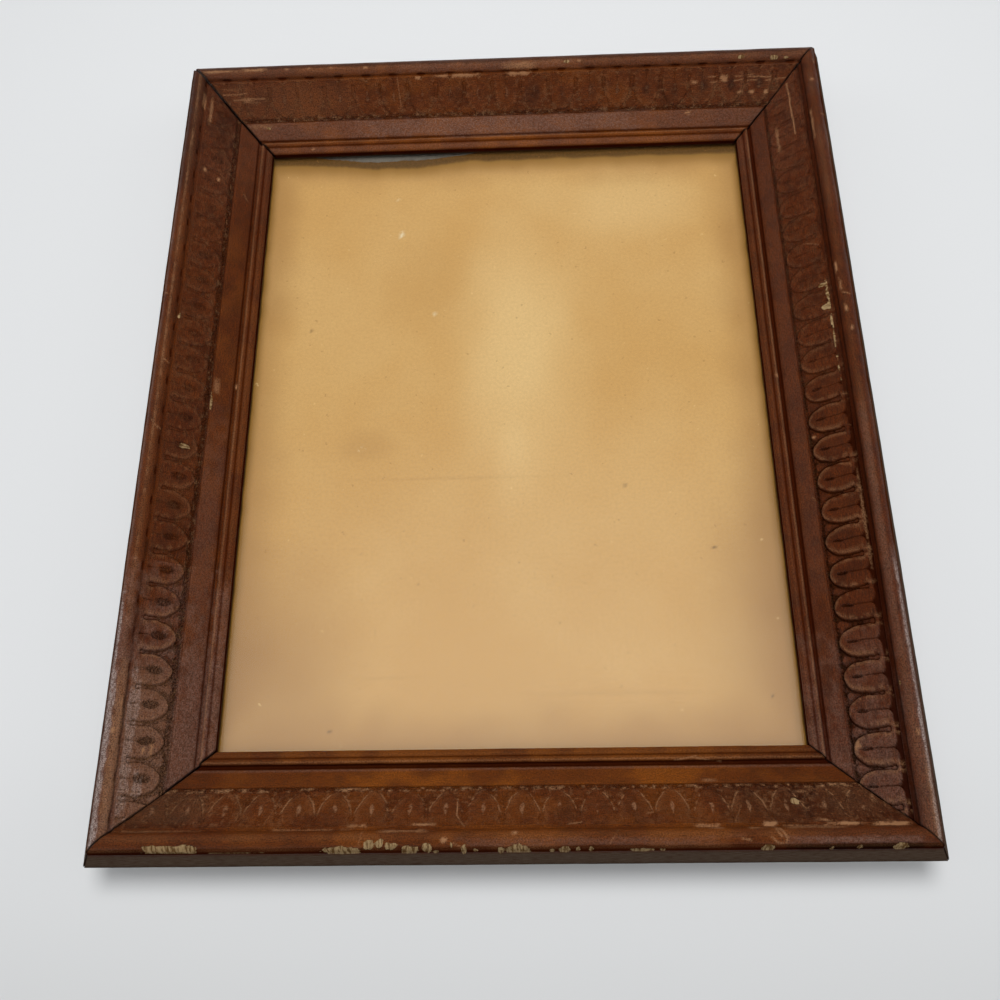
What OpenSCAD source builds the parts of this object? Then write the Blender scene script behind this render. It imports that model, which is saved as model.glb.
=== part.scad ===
// Small mitred picture frame with a sprung scoop moulding, lying on its back, face up.
// The origin is the centre of the back plane. +Y runs towards the top rail and +Z out of the face.
// A point of the moulding's section is [u, z]: u is measured inwards from the rail's outer edge,
// and z up from the back plane.

/* [Glazing] */
// Width of the glass
glass_w = 203.2; // [150:0.1:260]
// Height of the glass
glass_h = 254; // [180:0.1:320]
// Thickness of the glass
glass_t = 2; // [1.6:0.1:3]
// Thickness of the aged paper
paper_t = 0.2; // [0.1:0.05:0.5]
// Thickness of the chipboard behind the paper
board_t = 2.2; // [1:0.1:3]
// How much smaller than the glass the board and the paper are, all told
board_trim = 1; // [0.4:0.1:3]
// Longest reach of the tear in the paper's top edge
tear_depth = 7.4; // [2:0.1:10]
// Length of the torn stretch
tear_length = 84; // [30:1:110]
// Where the torn stretch starts, from the paper's left edge
tear_start = 14; // [4:1:30]

/* [Moulding] */
// Width of the moulding, outer edge to sight edge
rail_w = 35.5; // [30:0.5:50]
// Height of the rim's crest above the back plane
frame_t = 28.5; // [25:0.5:38]
// Height of the sharp outer edge above the back plane
edge_h = 18; // [13:0.5:21.5]
// How far the side leans inwards between the outer edge and the rim
side_lean = 3.7; // [1:0.1:5]
// Radius of the rounded rim
rim_r = 3.25; // [2.4:0.05:4]
// Radius of the groove beside the rim
groove_r = 0.65; // [0.4:0.05:1]
// Drop from the rim's crest to the start of the carved band
carve_drop = 2.9; // [2:0.1:4]
// Hollow of the carved band below its chord
carve_sag = 0.4; // [0.2:0.1:1]
// Width of the plain band
plain_w = 6.6; // [4:0.1:9]
// Rise of the plain band over its width
plain_rise = 4.3; // [2:0.1:6]
// Side of the small square quirk between the carved and plain bands
quirk = 0.5; // [0.3:0.05:0.8]
// Radius of the sight bead
bead_r = 1.2; // [0.8:0.05:1.5]
// Radius of the quirk outside the bead
bead_quirk_r = 0.55; // [0.3:0.05:0.7]
// Width of the sight lip inside the bead
lip_w = 2.4; // [1.5:0.1:3.5]
// Thickness of the lip at the sight edge
lip_t = 2.8; // [2:0.1:4]
// Rise of the lip from the sight edge to the bead
lip_rise = 1.2; // [0.4:0.1:2]
// Width of the flat back band on which the frame rests
foot_w = 7.75; // [5:0.25:10]
// Open joint between two mitred ends
mitre_gap = 0.2; // [0.1:0.05:0.6]

/* [Rabbet] */
// Depth of the rabbet from the back plane to the lip
rabbet_depth = 7.6; // [6.6:0.1:9]
// How far the lip covers the glass
lip_cover = 4.75; // [3:0.05:6]
// Gap between the glass and the rabbet wall
glass_play = 1; // [0.5:0.1:2]
// Gap between one layer in the rabbet and the next
layer_gap = 0.05; // [0.02:0.01:0.1]

/* [Corner nails] */
// Radius of a nail's shank
nail_r = 0.8; // [0.6:0.05:1.1]
// Length of a nail under its head
nail_l = 25; // [18:0.5:30]
// Radius of a nail's head
nail_head_r = 1.5; // [1.2:0.05:2]
// Thickness of a nail's head
nail_head_t = 0.8; // [0.5:0.1:1.2]
// Depth to which a head is punched below the wood
nail_sink = 1; // [0.5:0.1:2]
// Wood between a nail's head and the sharp outer edge
nail_cover = 1.2; // [0.6:0.1:2]
// Place of the outer nail, from the outer edge of the rail that it pins
nail_outer_u = 14; // [12:0.5:15]
// Place of the inner nail, from the same edge
nail_inner_u = 20.5; // [19:0.5:22]

/* [Brads] */
// Radius of a brad
brad_r = 0.6; // [0.4:0.05:0.7]
// Length of a brad
brad_l = 14; // [10:0.5:18]
// Length of a brad that is driven into the rabbet wall
brad_drive = 7; // [4:0.5:8]
// Number of brads along the top and along the bottom
brads_across = 3; // [2:1:4]
// Number of brads along each side
brads_along = 4; // [2:1:5]
// Distance of the end brads from the corner of the rabbet
brad_end = 32; // [20:1:45]

/* [Screw eyes] */
// Radius of the wire of a screw eye
eye_wire_r = 0.8; // [0.6:0.05:1]
// Radius of the hole in the ring
eye_hole_r = 2.2; // [1.8:0.1:2.6]
// Length of the neck between the ring and the wood
eye_neck = 0.8; // [0.4:0.1:1.5]
// Length of the screw in the wood
eye_screw_l = 10; // [6:0.5:11]
// Place of a screw eye on the sloping back, from the rail's outer edge
eye_u = 9; // [8:0.5:11]
// Distance of the screw eyes from the frame's top edge
eye_from_top = 105; // [80:1:140]

/* [Fits] */
// Clearance of a nail, brad or screw in its hole
hole_fit = 0.05; // [0.02:0.01:0.1]
// Depth of a hole past the point of its nail
hole_spare = 0.4; // [0.2:0.1:1]

/* [Hidden] */
$fn = 64;

MAHOGANY = [0.37, 0.17, 0.10];
STEEL = [0.52, 0.50, 0.47];

// Outer size of the frame
frame_w = glass_w - 2 * lip_cover + 2 * rail_w;
frame_h = glass_h - 2 * lip_cover + 2 * rail_w;
// Distance of the rabbet wall from the outer edge
rabbet_u = rail_w - lip_cover - glass_play;
// Foot of the sloping back
slope_u = rabbet_u - foot_w;
// Centre of the rim
rim_u = side_lean + rim_r;
rim_z = frame_t - rim_r;
// Corners of the section along the face, from the rim to the sight edge
groove_u = rim_u + rim_r + groove_r * 0.6;
carve_at = [groove_u + groove_r, frame_t - carve_drop];
bead_w = 2 * bead_r + 0.4;
lip_top = rabbet_depth + lip_t + lip_rise;
bead_at = [rail_w - lip_w - bead_w, lip_top - 0.5];
plain_at = [bead_at[0] - plain_w, bead_at[1] + plain_rise];
// Chord of the carved band, and the radius of its hollow
chord = plain_at - carve_at;
carve_r = (chord * chord / 4 + carve_sag * carve_sag) / (2 * carve_sag);
// Heights of the layers in the rabbet, from the lip down
glass_z = rabbet_depth - layer_gap - glass_t;
paper_z = glass_z - layer_gap - paper_t;
board_z = paper_z - layer_gap - board_t;
brad_z = board_z - layer_gap - brad_r;
board_w = glass_w - board_trim;
board_h = glass_h - board_trim;
// A nail's point is a cone of this many radii
point_radii = 3;
// Lean of the screw eyes from the vertical, square to the sloping back
eye_lean = atan2(edge_h, slope_u);
eye_ring_r = eye_hole_r + eye_wire_r;

// Height of the sloping back at a distance u from the outer edge
function back_z(u) = max(0, edge_h * (1 - u / slope_u));
// Distance from the outer edge at which the sloping back has the height z
function back_u(z) = slope_u * (1 - z / edge_h);
// Height of the carved band's chord at a distance u from the outer edge
function face_z(u) = carve_at[1] + (u - carve_at[0]) * chord[1] / chord[0];
// Height of a nail at a distance u: the middle of the wood, but no nearer to the sharp edge than
// the nail's head allows
function nail_z(u) = min((back_z(u) + face_z(u)) / 2, edge_h - nail_head_r - nail_cover);

// Section of the moulding in [u, z]
module moulding_section() {
    difference() {
        union() {
            polygon([
                [slope_u, 0], [rabbet_u, 0], [rabbet_u, rabbet_depth], [rail_w, rabbet_depth],
                [rail_w, rabbet_depth + lip_t], [rail_w - lip_w, lip_top], bead_at, plain_at, carve_at,
                [rim_u, rim_z], [side_lean, rim_z], [0, edge_h]
            ]);
            translate([rim_u, rim_z]) circle(r = rim_r);
            translate([rail_w - lip_w - bead_r, lip_top - 0.4]) circle(r = bead_r);
        }
        translate([groove_u, carve_at[1]]) circle(r = groove_r);
        translate((carve_at + plain_at) / 2) rotate(atan2(chord[1], chord[0])) intersection() {
            translate([0, carve_r - carve_sag]) circle(r = carve_r, $fn = 360);
            square([norm(chord), 2 * rim_r], center = true);
        }
        translate(plain_at) rotate(45) square(quirk, center = true);
        translate([bead_at[0], bead_at[1] + 0.15]) circle(r = bead_quirk_r);
    }
}

// One length of moulding along X, mitred at both ends, with its outer edge at y = 0
module mitred_length(length) {
    end = length / 2 - mitre_gap / sqrt(2);
    spare = 1;
    intersection() {
        rotate([90, 0, 90]) linear_extrude(length, center = true) moulding_section();
        linear_extrude(frame_t + spare) polygon([
            [-end - spare, -spare], [end + spare, -spare],
            [end - rail_w - spare, rail_w + spare], [-end + rail_w + spare, rail_w + spare]
        ]);
    }
}

// Places its children on one side of the frame: 0 bottom, 1 right, 2 top, 3 left
module on_side(side) {
    reach = (side % 2 == 0) ? frame_h / 2 : frame_w / 2;
    rotate(side * 90) translate([0, -reach, 0]) children();
}

// A straight pin along +Z with its point at the bottom end, grown by fit and lengthened by spare
module pin(r, length, fit = 0, spare = 0) {
    point = point_radii * r;
    translate([0, 0, -length - spare]) {
        cylinder(r1 = 0.1 * r + fit, r2 = r + fit, h = point);
        translate([0, 0, point]) cylinder(r = r + fit, h = length + spare - point);
    }
}

// One corner nail, its head outwards at the origin and its shank down
module corner_nail() {
    union() {
        cylinder(r = nail_head_r, h = nail_head_t);
        pin(nail_r, nail_l);
    }
}

// The hole for a corner nail, open to the outside
module corner_nail_hole() {
    cylinder(r = nail_head_r + hole_fit, h = nail_head_t + edge_h);
    pin(nail_r, nail_l, hole_fit, hole_spare);
}

// Places its children at both nails of one corner. Nails go through a side rail into the end of
// the top or bottom rail. across is -1 at the left and 1 at the right, along -1 at the bottom.
module at_corner_nails(across, along) {
    for (u = [nail_outer_u, nail_inner_u]) {
        z = nail_z(u);
        from_edge = back_u(z) + nail_sink + nail_head_t;
        translate([across * (frame_w / 2 - from_edge), along * (frame_h / 2 - u), z])
            rotate([0, across * 90, 0]) children();
    }
}

// Places its children at the brads of one side, each along +Z out of the rabbet wall
module at_brads(side) {
    count = (side % 2 == 0) ? brads_across : brads_along;
    run = ((side % 2 == 0) ? frame_w : frame_h) - 2 * rabbet_u - 2 * brad_end;
    on_side(side) for (i = [0 : count - 1])
        translate([-run / 2 + run * i / (count - 1), rabbet_u, brad_z]) rotate([-90, 0, 0])
            children();
}

// One brad, driven outwards into the rabbet wall, which lies at the origin
module brad() {
    translate([0, 0, brad_l - brad_drive]) pin(brad_r, brad_l);
}

module brad_hole() {
    pin(brad_r, brad_drive, hole_fit, hole_spare);
}

// Places its children on the sloping back of a side rail, where +Z leaves the wood
module at_screw_eye(across) {
    translate([across * (frame_w / 2 - eye_u), frame_h / 2 - eye_from_top, back_z(eye_u)])
        rotate([0, across * (180 - eye_lean), 0]) children();
}

// One screw eye: a wire ring that stands along the rail, a neck and a pointed screw
module screw_eye() {
    union() {
        translate([0, 0, eye_neck + eye_ring_r + eye_wire_r]) rotate([0, 90, 0])
            rotate_extrude() translate([eye_ring_r, 0]) circle(r = eye_wire_r);
        cylinder(r = eye_wire_r, h = eye_neck + eye_wire_r);
        pin(eye_wire_r, eye_screw_l);
    }
}

module screw_eye_hole() {
    pin(eye_wire_r, eye_screw_l, hole_fit, hole_spare);
    cylinder(r = eye_wire_r + hole_fit, h = eye_neck);
}

// A rail with every hole that its fasteners need
module drilled_rail(side, length) {
    difference() {
        on_side(side) mitred_length(length);
        for (across = [-1, 1], along = [-1, 1]) at_corner_nails(across, along) corner_nail_hole();
        at_brads(side) brad_hole();
        for (across = [-1, 1]) at_screw_eye(across) screw_eye_hole();
    }
}

module top_rail() { color(MAHOGANY) drilled_rail(2, frame_w); }

module bottom_rail() { color(MAHOGANY) drilled_rail(0, frame_w); }

module left_rail() { color(MAHOGANY) drilled_rail(3, frame_h); }

module right_rail() { color(MAHOGANY) drilled_rail(1, frame_h); }

// Clear pane that bears against the lip
module glass_pane() {
    color([0.82, 0.88, 0.86, 0.35])
        translate([-glass_w / 2, -glass_h / 2, glass_z]) cube([glass_w, glass_h, glass_t]);
}

// Yellowed sheet against the glass, torn along the left part of its top edge
module backing_paper() {
    torn = [[1, 0], [0.93, 0.55], [0.78, 0.82], [0.60, 1], [0.45, 0.9], [0.30, 0.97], [0.12, 0.8], [0, 0]];
    left = -board_w / 2;
    top = board_h / 2;
    color([0.78, 0.62, 0.38]) translate([0, 0, paper_z]) linear_extrude(paper_t) polygon(concat(
        [[left, -top], [-left, -top], [-left, top]],
        [for (p = torn) [left + tear_start + p[0] * tear_length, top - p[1] * tear_depth]],
        [[left, top]]
    ));
}

// Grey chipboard that keeps the paper flat
module backing_board() {
    color([0.47, 0.46, 0.43])
        translate([-board_w / 2, -board_h / 2, board_z]) cube([board_w, board_h, board_t]);
}

module brads_top() { color(STEEL) at_brads(2) brad(); }

module brads_bottom() { color(STEEL) at_brads(0) brad(); }

module brads_left() { color(STEEL) at_brads(3) brad(); }

module brads_right() { color(STEEL) at_brads(1) brad(); }

module corner_nails_top_left() { color(STEEL) at_corner_nails(-1, 1) corner_nail(); }

module corner_nails_top_right() { color(STEEL) at_corner_nails(1, 1) corner_nail(); }

module corner_nails_bottom_left() { color(STEEL) at_corner_nails(-1, -1) corner_nail(); }

module corner_nails_bottom_right() { color(STEEL) at_corner_nails(1, -1) corner_nail(); }

module left_screw_eye() { color(STEEL) at_screw_eye(-1) screw_eye(); }

module right_screw_eye() { color(STEEL) at_screw_eye(1) screw_eye(); }

top_rail();
bottom_rail();
left_rail();
right_rail();
glass_pane();
backing_paper();
backing_board();
brads_top();
brads_bottom();
brads_left();
brads_right();
corner_nails_top_left();
corner_nails_top_right();
corner_nails_bottom_left();
corner_nails_bottom_right();
left_screw_eye();
right_screw_eye();
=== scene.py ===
"""Looks of a small mitred picture frame: carved mahogany moulding, glass, aged sheet and fixings.

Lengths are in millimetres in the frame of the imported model, and become metres when a mesh is made.
A point of the moulding's section is (u, z): u inwards from the rail's outer edge, z up from the back.
A rail's own length runs along s, from its left end to its right end as seen from outside the frame.
"""
import logging
from dataclasses import dataclass
from enum import Enum, IntEnum
from typing import Sequence

import bpy
import numpy as np
from mathutils import Matrix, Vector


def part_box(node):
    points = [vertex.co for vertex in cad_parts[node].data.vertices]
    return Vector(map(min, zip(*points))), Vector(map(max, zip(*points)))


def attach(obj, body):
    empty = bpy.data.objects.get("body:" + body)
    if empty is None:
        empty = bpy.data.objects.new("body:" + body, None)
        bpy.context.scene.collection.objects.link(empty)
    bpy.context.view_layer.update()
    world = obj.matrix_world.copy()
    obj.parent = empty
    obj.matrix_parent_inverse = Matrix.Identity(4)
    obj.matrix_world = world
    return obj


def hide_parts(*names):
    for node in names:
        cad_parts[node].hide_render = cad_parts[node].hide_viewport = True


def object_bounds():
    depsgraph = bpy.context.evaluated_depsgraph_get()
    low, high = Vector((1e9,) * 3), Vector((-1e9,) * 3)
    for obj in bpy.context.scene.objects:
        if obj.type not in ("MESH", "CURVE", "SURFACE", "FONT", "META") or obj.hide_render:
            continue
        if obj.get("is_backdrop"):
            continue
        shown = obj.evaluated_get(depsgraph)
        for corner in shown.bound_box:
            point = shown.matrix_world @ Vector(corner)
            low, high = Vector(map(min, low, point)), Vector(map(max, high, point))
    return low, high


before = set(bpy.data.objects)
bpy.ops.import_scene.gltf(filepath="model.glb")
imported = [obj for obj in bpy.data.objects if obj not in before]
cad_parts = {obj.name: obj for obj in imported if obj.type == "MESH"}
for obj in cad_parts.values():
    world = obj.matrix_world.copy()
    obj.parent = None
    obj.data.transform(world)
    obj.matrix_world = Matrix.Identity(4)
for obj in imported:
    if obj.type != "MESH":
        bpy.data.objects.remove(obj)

Array = np.ndarray
Pair = tuple[float, float]
Triple = tuple[float, float, float]
MM = 0.001
HASH_WEIGHTS = (127.1, 311.7, 74.7)
HASH_SCALE = 43758.5453
log = logging.getLogger("picture_frame")


class Side(IntEnum):
    """The four rails, in the order in which a quarter turn carries one onto the next."""

    BOTTOM = 0
    RIGHT = 1
    TOP = 2
    LEFT = 3


class Wear(Enum):
    """Kinds of damage on the finish, and the painted sheen: the share that each one adds to, and how deep it
    goes.
    """

    CHIP = ("bare", 0.35)
    # Scratches and rubs share one layer, which also holds painted highlights
    SCRATCH = ("rub", 0.08)
    # Rubs; some rows of them are painted sheen on the rim and painted highlights
    RUB = ("rub", 0.0)
    STAIN = ("stain", 0.0)
    # Painted sheen: pale reflected light laid on the finish as colour
    BLOOM = ("painted_sheen", 0.0)


# Noise and small helpers


def hashed(i: Array, j: Array, seed: int) -> Array:
    """Repeatable random numbers for whole-number lattice points.

    Formula: the fractional part of a large multiple of the sine of a weighted sum of i, j and seed.

    Args:
        i: First lattice coordinate.
        j: Second lattice coordinate.
        seed: Number that picks the pattern.

    Returns:
        Values from 0 to 1.
    """
    by_i, by_j, by_seed = HASH_WEIGHTS
    value = np.sin(i * by_i + j * by_j + seed * by_seed) * HASH_SCALE
    return value - np.floor(value)


def noise(x: Array, y: Array, seed: int, octaves: int = 1) -> Array:
    """Smooth value noise in two directions.

    Formula: lattice values blended with the curve 3f^2 - 2f^3, each octave at twice the pitch and half
    the height of the one before.

    Args:
        x: First coordinate, one lattice cell a unit.
        y: Second coordinate.
        seed: Number that picks the pattern.
        octaves: Layers added together.

    Returns:
        Values from -1 to 1.
    """
    total = np.zeros(np.broadcast(x, y).shape)
    height, scale, reach = 1.0, 1.0, 0.0
    for octave in range(octaves):
        px, py = x * scale, y * scale
        i, j = np.floor(px), np.floor(py)
        fx, fy = px - i, py - j
        fx, fy = fx * fx * (3 - 2 * fx), fy * fy * (3 - 2 * fy)
        key = seed + 17 * octave
        low = hashed(i, j, key) * (1 - fx) + hashed(i + 1, j, key) * fx
        high = hashed(i, j + 1, key) * (1 - fx) + hashed(i + 1, j + 1, key) * fx
        total += height * (2 * (low * (1 - fy) + high * fy) - 1)
        reach += height
        height, scale = height / 2, scale * 2
    return total / reach


def smooth(low: float, high: float, x: Array) -> Array:
    """Rises from 0 at low to 1 at high along 3k^2 - 2k^3."""
    k = np.clip((x - low) / (high - low), 0.0, 1.0)
    return k * k * (3 - 2 * k)


def bump(distance: Array, half: float | Array) -> Array:
    """A hill of height 1 at distance 0 that ends at distance half, as (1 - (d / half)^2)^2."""
    k = np.clip(distance / half, -1.0, 1.0)
    return (1 - k * k) ** 2


def arc(centre: Pair, radius: float, start: float, end: float, count: int) -> Array:
    """Points on a circle's arc, from the angle start to the angle end in degrees."""
    angle = np.radians(np.linspace(start, end, count))
    return np.stack([centre[0] + radius * np.cos(angle), centre[1] + radius * np.sin(angle)], 1)


# The moulding


@dataclass(frozen=True)
class Moulding:
    """Section of the sprung moulding with a hollowed band.

    A name with _at is a place (u, z), with _r a radius, with _u or _z one coordinate, and with _t the
    distance along the face, from the sharp outer edge, at which a stretch ends. Marks on the finish are
    placed by that distance.
    """

    width: float = 35.5
    height: float = 28.5
    edge_h: float = 18.0
    side_lean: float = 3.7
    rim_r: float = 3.25
    groove_r: float = 0.65
    carve_at: Pair = (11.24, 25.6)
    carve_sag: float = 0.4
    plain_at: Pair = (23.7, 15.4)
    plain_end: Pair = (29.84, 11.4)
    bead_at: Pair = (30.3, 11.1)
    bead_r: float = 1.2
    bead_quirk_r: float = 0.55
    lip_at: Pair = (33.1, 11.6)
    sight_z: float = 10.4
    rabbet_u: float = 29.75
    rabbet_z: float = 7.6
    slope_u: float = 22.0
    side_t: float = 8.14
    rim_t: float = 17.7
    groove_t: float = 19.05
    carve_t: float = 34.84
    plain_t: float = 43.2
    bead_t: float = 47.6
    lip_t: float = 50.2
    sight_t: float = 53.0

    def hollow(self) -> Array:
        """Points across the carved band.

        Formula: the chord, lowered along its normal by a parabola.

        Returns:
            The points, from the groove to the plain band.
        """
        a, b = np.array(self.carve_at), np.array(self.plain_at)
        k = np.linspace(0, 1, 40)[:, None]
        along = (b - a) / np.linalg.norm(b - a)
        normal = np.array([-along[1], along[0]])
        return a + (b - a) * k - normal * (4 * self.carve_sag * k * (1 - k))

    def stretches(self) -> list[tuple[Array, float, float, int]]:
        """Stretches of the face, outer edge to sight edge.

        Formula: straight lines, the hollow, and arcs of circles round the middles of the rim, the groove,
        the quirk and the bead.

        Returns:
            For each stretch its points, the face distance at its two ends, and its count of mesh rows.
        """
        rim = (self.side_lean + self.rim_r, self.height - self.rim_r)
        groove = (self.carve_at[0] - self.groove_r, self.carve_at[1])
        bead = (self.lip_at[0] - self.bead_r, self.lip_at[1] - 0.4)
        quirk = (self.bead_at[0], self.bead_at[1] + 0.15)
        notch = np.array([self.plain_at, (self.plain_at[0] + 0.05, self.plain_at[1] - 0.33)])
        plain = np.array([(self.plain_at[0] + 0.3, self.plain_at[1] - 0.15), self.plain_end])
        bead_line = np.concatenate([
            arc(quirk, self.bead_quirk_r, 165, 395, 24), arc(bead, self.bead_r, 160, 19, 24)])
        edge = np.array([(0.0, self.edge_h), (self.side_lean, rim[1])])
        sight = np.array([(self.width, self.sight_z), (self.width, self.rabbet_z)])
        return [
            (edge, 0.0, self.side_t, 5),
            (arc(rim, self.rim_r, 180, 13.9, 60), self.side_t, self.rim_t, 22),
            (arc(groove, self.groove_r, 138.5, 360, 30), self.rim_t, self.groove_t, 6),
            (self.hollow(), self.groove_t, self.carve_t, 46),
            (notch, self.carve_t, self.carve_t + 0.35, 2),
            (plain, self.carve_t + 0.7, self.plain_t, 8),
            (bead_line, self.plain_t, self.bead_t, 14),
            (np.array([self.lip_at, (self.width, self.sight_z)]), self.bead_t, self.lip_t, 5),
            (sight, self.lip_t, self.sight_t, 3)]

    def rows(self) -> tuple[Array, Array, Array]:
        """Rows of the closed section.

        Formula: each stretch is sampled at even steps of its own length, the back follows in straight
        lines, and a row's outward direction is the left normal of the line through its two neighbours.

        Returns:
            The places (u, z), the outward directions, and the face distances; a row of the back has a
            negative face distance.
        """
        places, distances = [], []
        for points, start, end, count in self.stretches():
            run = np.r_[0, np.cumsum(np.linalg.norm(np.diff(points, axis=0), axis=1))]
            k = (np.arange(count) + (0.04 if count > 3 else 0.1)) / count
            places.append(np.stack([np.interp(k * run[-1], run, points[:, i]) for i in (0, 1)], 1))
            distances.append(start + k * (end - start))
        back = [(self.width, self.rabbet_z), (self.rabbet_u + 2.0, self.rabbet_z),
                (self.rabbet_u, self.rabbet_z), (self.rabbet_u, 3.0), (self.rabbet_u, 0.2),
                (self.rabbet_u - 0.2, 0.0), (self.slope_u + 0.3, 0.0), (self.slope_u - 0.2, 0.16),
                (self.slope_u * 0.6, self.edge_h * 0.4), (self.slope_u * 0.3, self.edge_h * 0.7),
                (0.25, self.edge_h - 0.2)]
        places.append(np.array(back))
        distances.append(np.linspace(-1, -12, len(back)))
        place = np.concatenate(places)
        along = np.roll(place, -1, axis=0) - np.roll(place, 1, axis=0)
        normal = np.stack([-along[:, 1], along[:, 0]], 1)
        normal /= np.linalg.norm(normal, axis=1)[:, None]
        return place, normal, np.concatenate(distances)


@dataclass(frozen=True)
class Border:
    """Leaf-and-dart border pressed into the carved band of one rail.

    A tongue repeats at every pitch. Between two tongues stands a dart, and over it a narrow loop.
    out is the distance from the border's inner line towards the rim, and off the distance along the
    rail from the nearest loop. first is the middle of one tongue, lobe and ground are where the lobes
    end and the pitted strip does, oval holds a tongue's oval as its place, half width and half length,
    notch is the place of the nicks, and shoulder and power shape a tongue's tip. head holds the half
    width and half length of a loop's round head, dart the place of a dart's widest part, its half width
    and the length of its tail, nick the half axes of a nick, and almond the place and half length of
    a tongue's middle, which is worn pale and carries painted sheen.
    """

    first: float
    pitch: float = 11.55
    lobe: float = 15.2
    ground: float = 1.5
    oval: Triple = (8.6, 0.9, 2.2)
    notch: float = 99.0
    shoulder: float = 8.5
    power: float = 1.75
    tongue_half: float = 5.1
    stem_half: float = 0.5
    head_at: float = 12.3
    head: Pair = (0.78, 0.9)
    line_half: float = 0.42
    dart: Triple = (2.5, 1.5, 3.0)
    lobe_rise: float = 1.5
    nick: Pair = (2.7, 0.75)
    almond: Pair = (8.8, 3.2)

    def loop_half(self, out: Array) -> Array:
        """Half the width between the two incised lines that pass a dart and close in a loop.

        Formula: below the shoulder it is half a pitch less a superellipse that is the tongue; over it
        an even stem, which swells and ends in a round head.

        Args:
            out: Distance from the border's inner line.

        Returns:
            The half width, and 0 past the head.
        """
        share = np.clip((self.shoulder - out) / (self.shoulder - self.ground), 0, 1)
        fork = self.pitch / 2 - self.tongue_half * (1 - share ** self.power) ** (1 / self.power)
        wide, tall = self.head
        head = wide * np.sqrt(np.clip(1 - ((out - self.head_at) / tall) ** 2, 0, 1))
        stem = np.where(out < self.head_at, np.maximum(self.stem_half, head), head)
        return np.where(out < self.shoulder, np.maximum(fork, self.stem_half), stem)

    def relief(self, s: Array, out: Array) -> dict[str, Array]:
        """Parts of the border at each point, each from 0 to 1.

        Formula: a line is a hill over the distance to its curve; an oval and a dart are hills over the
        distance measured in their own half axes.

        Args:
            s: Place along the rail.
            out: Distance from the border's inner line.

        Returns:
            line, oval, vein, dart, fork (the ground round a dart), ground (the pitted strip), lobe (what
            lies beyond the scalloped outer edge), soft (the tongue's rounding), notch (the dark nick at
            a vein's end), and what still shows where the border is worn flat: arch, the lines round a
            tongue's tip, almond, its middle, and scallop, the lobes' outer edge.
        """
        cell = np.round((s - self.first) / self.pitch)
        shift = 0.35 * noise(cell * 1.37, 0.0 * s, 57)
        turn = (s - self.first + shift + 0.22 * noise(s / 3.1, out / 2.3, 5)) / self.pitch
        middle = (turn - np.round(turn)) * self.pitch
        place = out + 0.2 * noise(s / 2.7, out / 3.0, 9)
        off = self.pitch / 2 - np.abs(middle)
        half = self.loop_half(place)
        slope = np.abs(self.loop_half(place - 0.1) - self.loop_half(place + 0.1)) / 0.2
        steep = np.sqrt(1 + np.minimum(slope, 12) ** 2)
        inside = (place > self.ground - 0.2) & (place < self.head_at + self.head[1])
        line = bump((off - half) / steep, self.line_half) * inside
        tip = bump(np.hypot(middle * 0.8, place - self.ground), 0.5)
        line = np.maximum(line, tip * 0.8)
        centre, wide, tall = self.oval
        oval = 1 - smooth(0.7, 1.0, np.hypot(middle / wide, (place - centre) / tall))
        start = centre + 0.8 * tall
        vein = bump(middle, 0.34 + 0.7 * smooth(12.5, 15.5, place)) * smooth(start, start + 1, place)
        vein = vein * (1 - smooth(self.lobe - 1.4, self.lobe, place))
        at, round_half, tail = self.dart
        width = np.sqrt(np.clip(1 - ((place - at) / round_half) ** 2, 0, 1))
        width = round_half * np.where(place > at, np.maximum(1 - (place - at) / tail, 0), width)
        dart = smooth(-0.05, 0.35, np.minimum(width, half - 0.3) - off) * (place < at + tail + 0.1)
        curve = self.lobe - self.lobe_rise * (np.abs(middle) / (self.pitch / 2) - 1) ** 6
        lobe = smooth(-0.18, 0.18, place - curve)
        ground = (1 - smooth(self.ground - 0.1, self.ground + 0.5, place)) * smooth(0.0, 0.25, out)
        fork = smooth(-0.1, 0.35, half - off) * (place < 9.5) * smooth(0.1, 0.5, place) * (1 - dart)
        inset = np.clip((off - half) / steep / 2.4, 0, 1)
        soft = np.sqrt(1 - (1 - inset) ** 2) * (place > self.ground)
        thin = 0.3 + 0.65 * bump(place - 7.9, 3.0)
        at, tall = self.almond
        almond = smooth(0.0, 0.5, bump(np.hypot(middle / thin, (place - at) / tall), 1.0))
        arch = line * smooth(1.4, 2.6, place) * smooth(11.0, 8.5, place) * smooth(0.8, 2.4, np.abs(middle))
        wide, tall = self.nick
        notch = smooth(0.0, 0.5, bump(np.hypot(middle / wide, (out - self.notch) / tall), 1.0))
        scallop = bump(place - curve + 0.3, 0.4)
        return {"line": line, "oval": oval, "vein": vein, "dart": dart, "fork": fork, "arch": arch,
                "almond": almond, "ground": ground, "lobe": lobe, "soft": soft,
                "notch": notch, "scallop": scallop}


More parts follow.
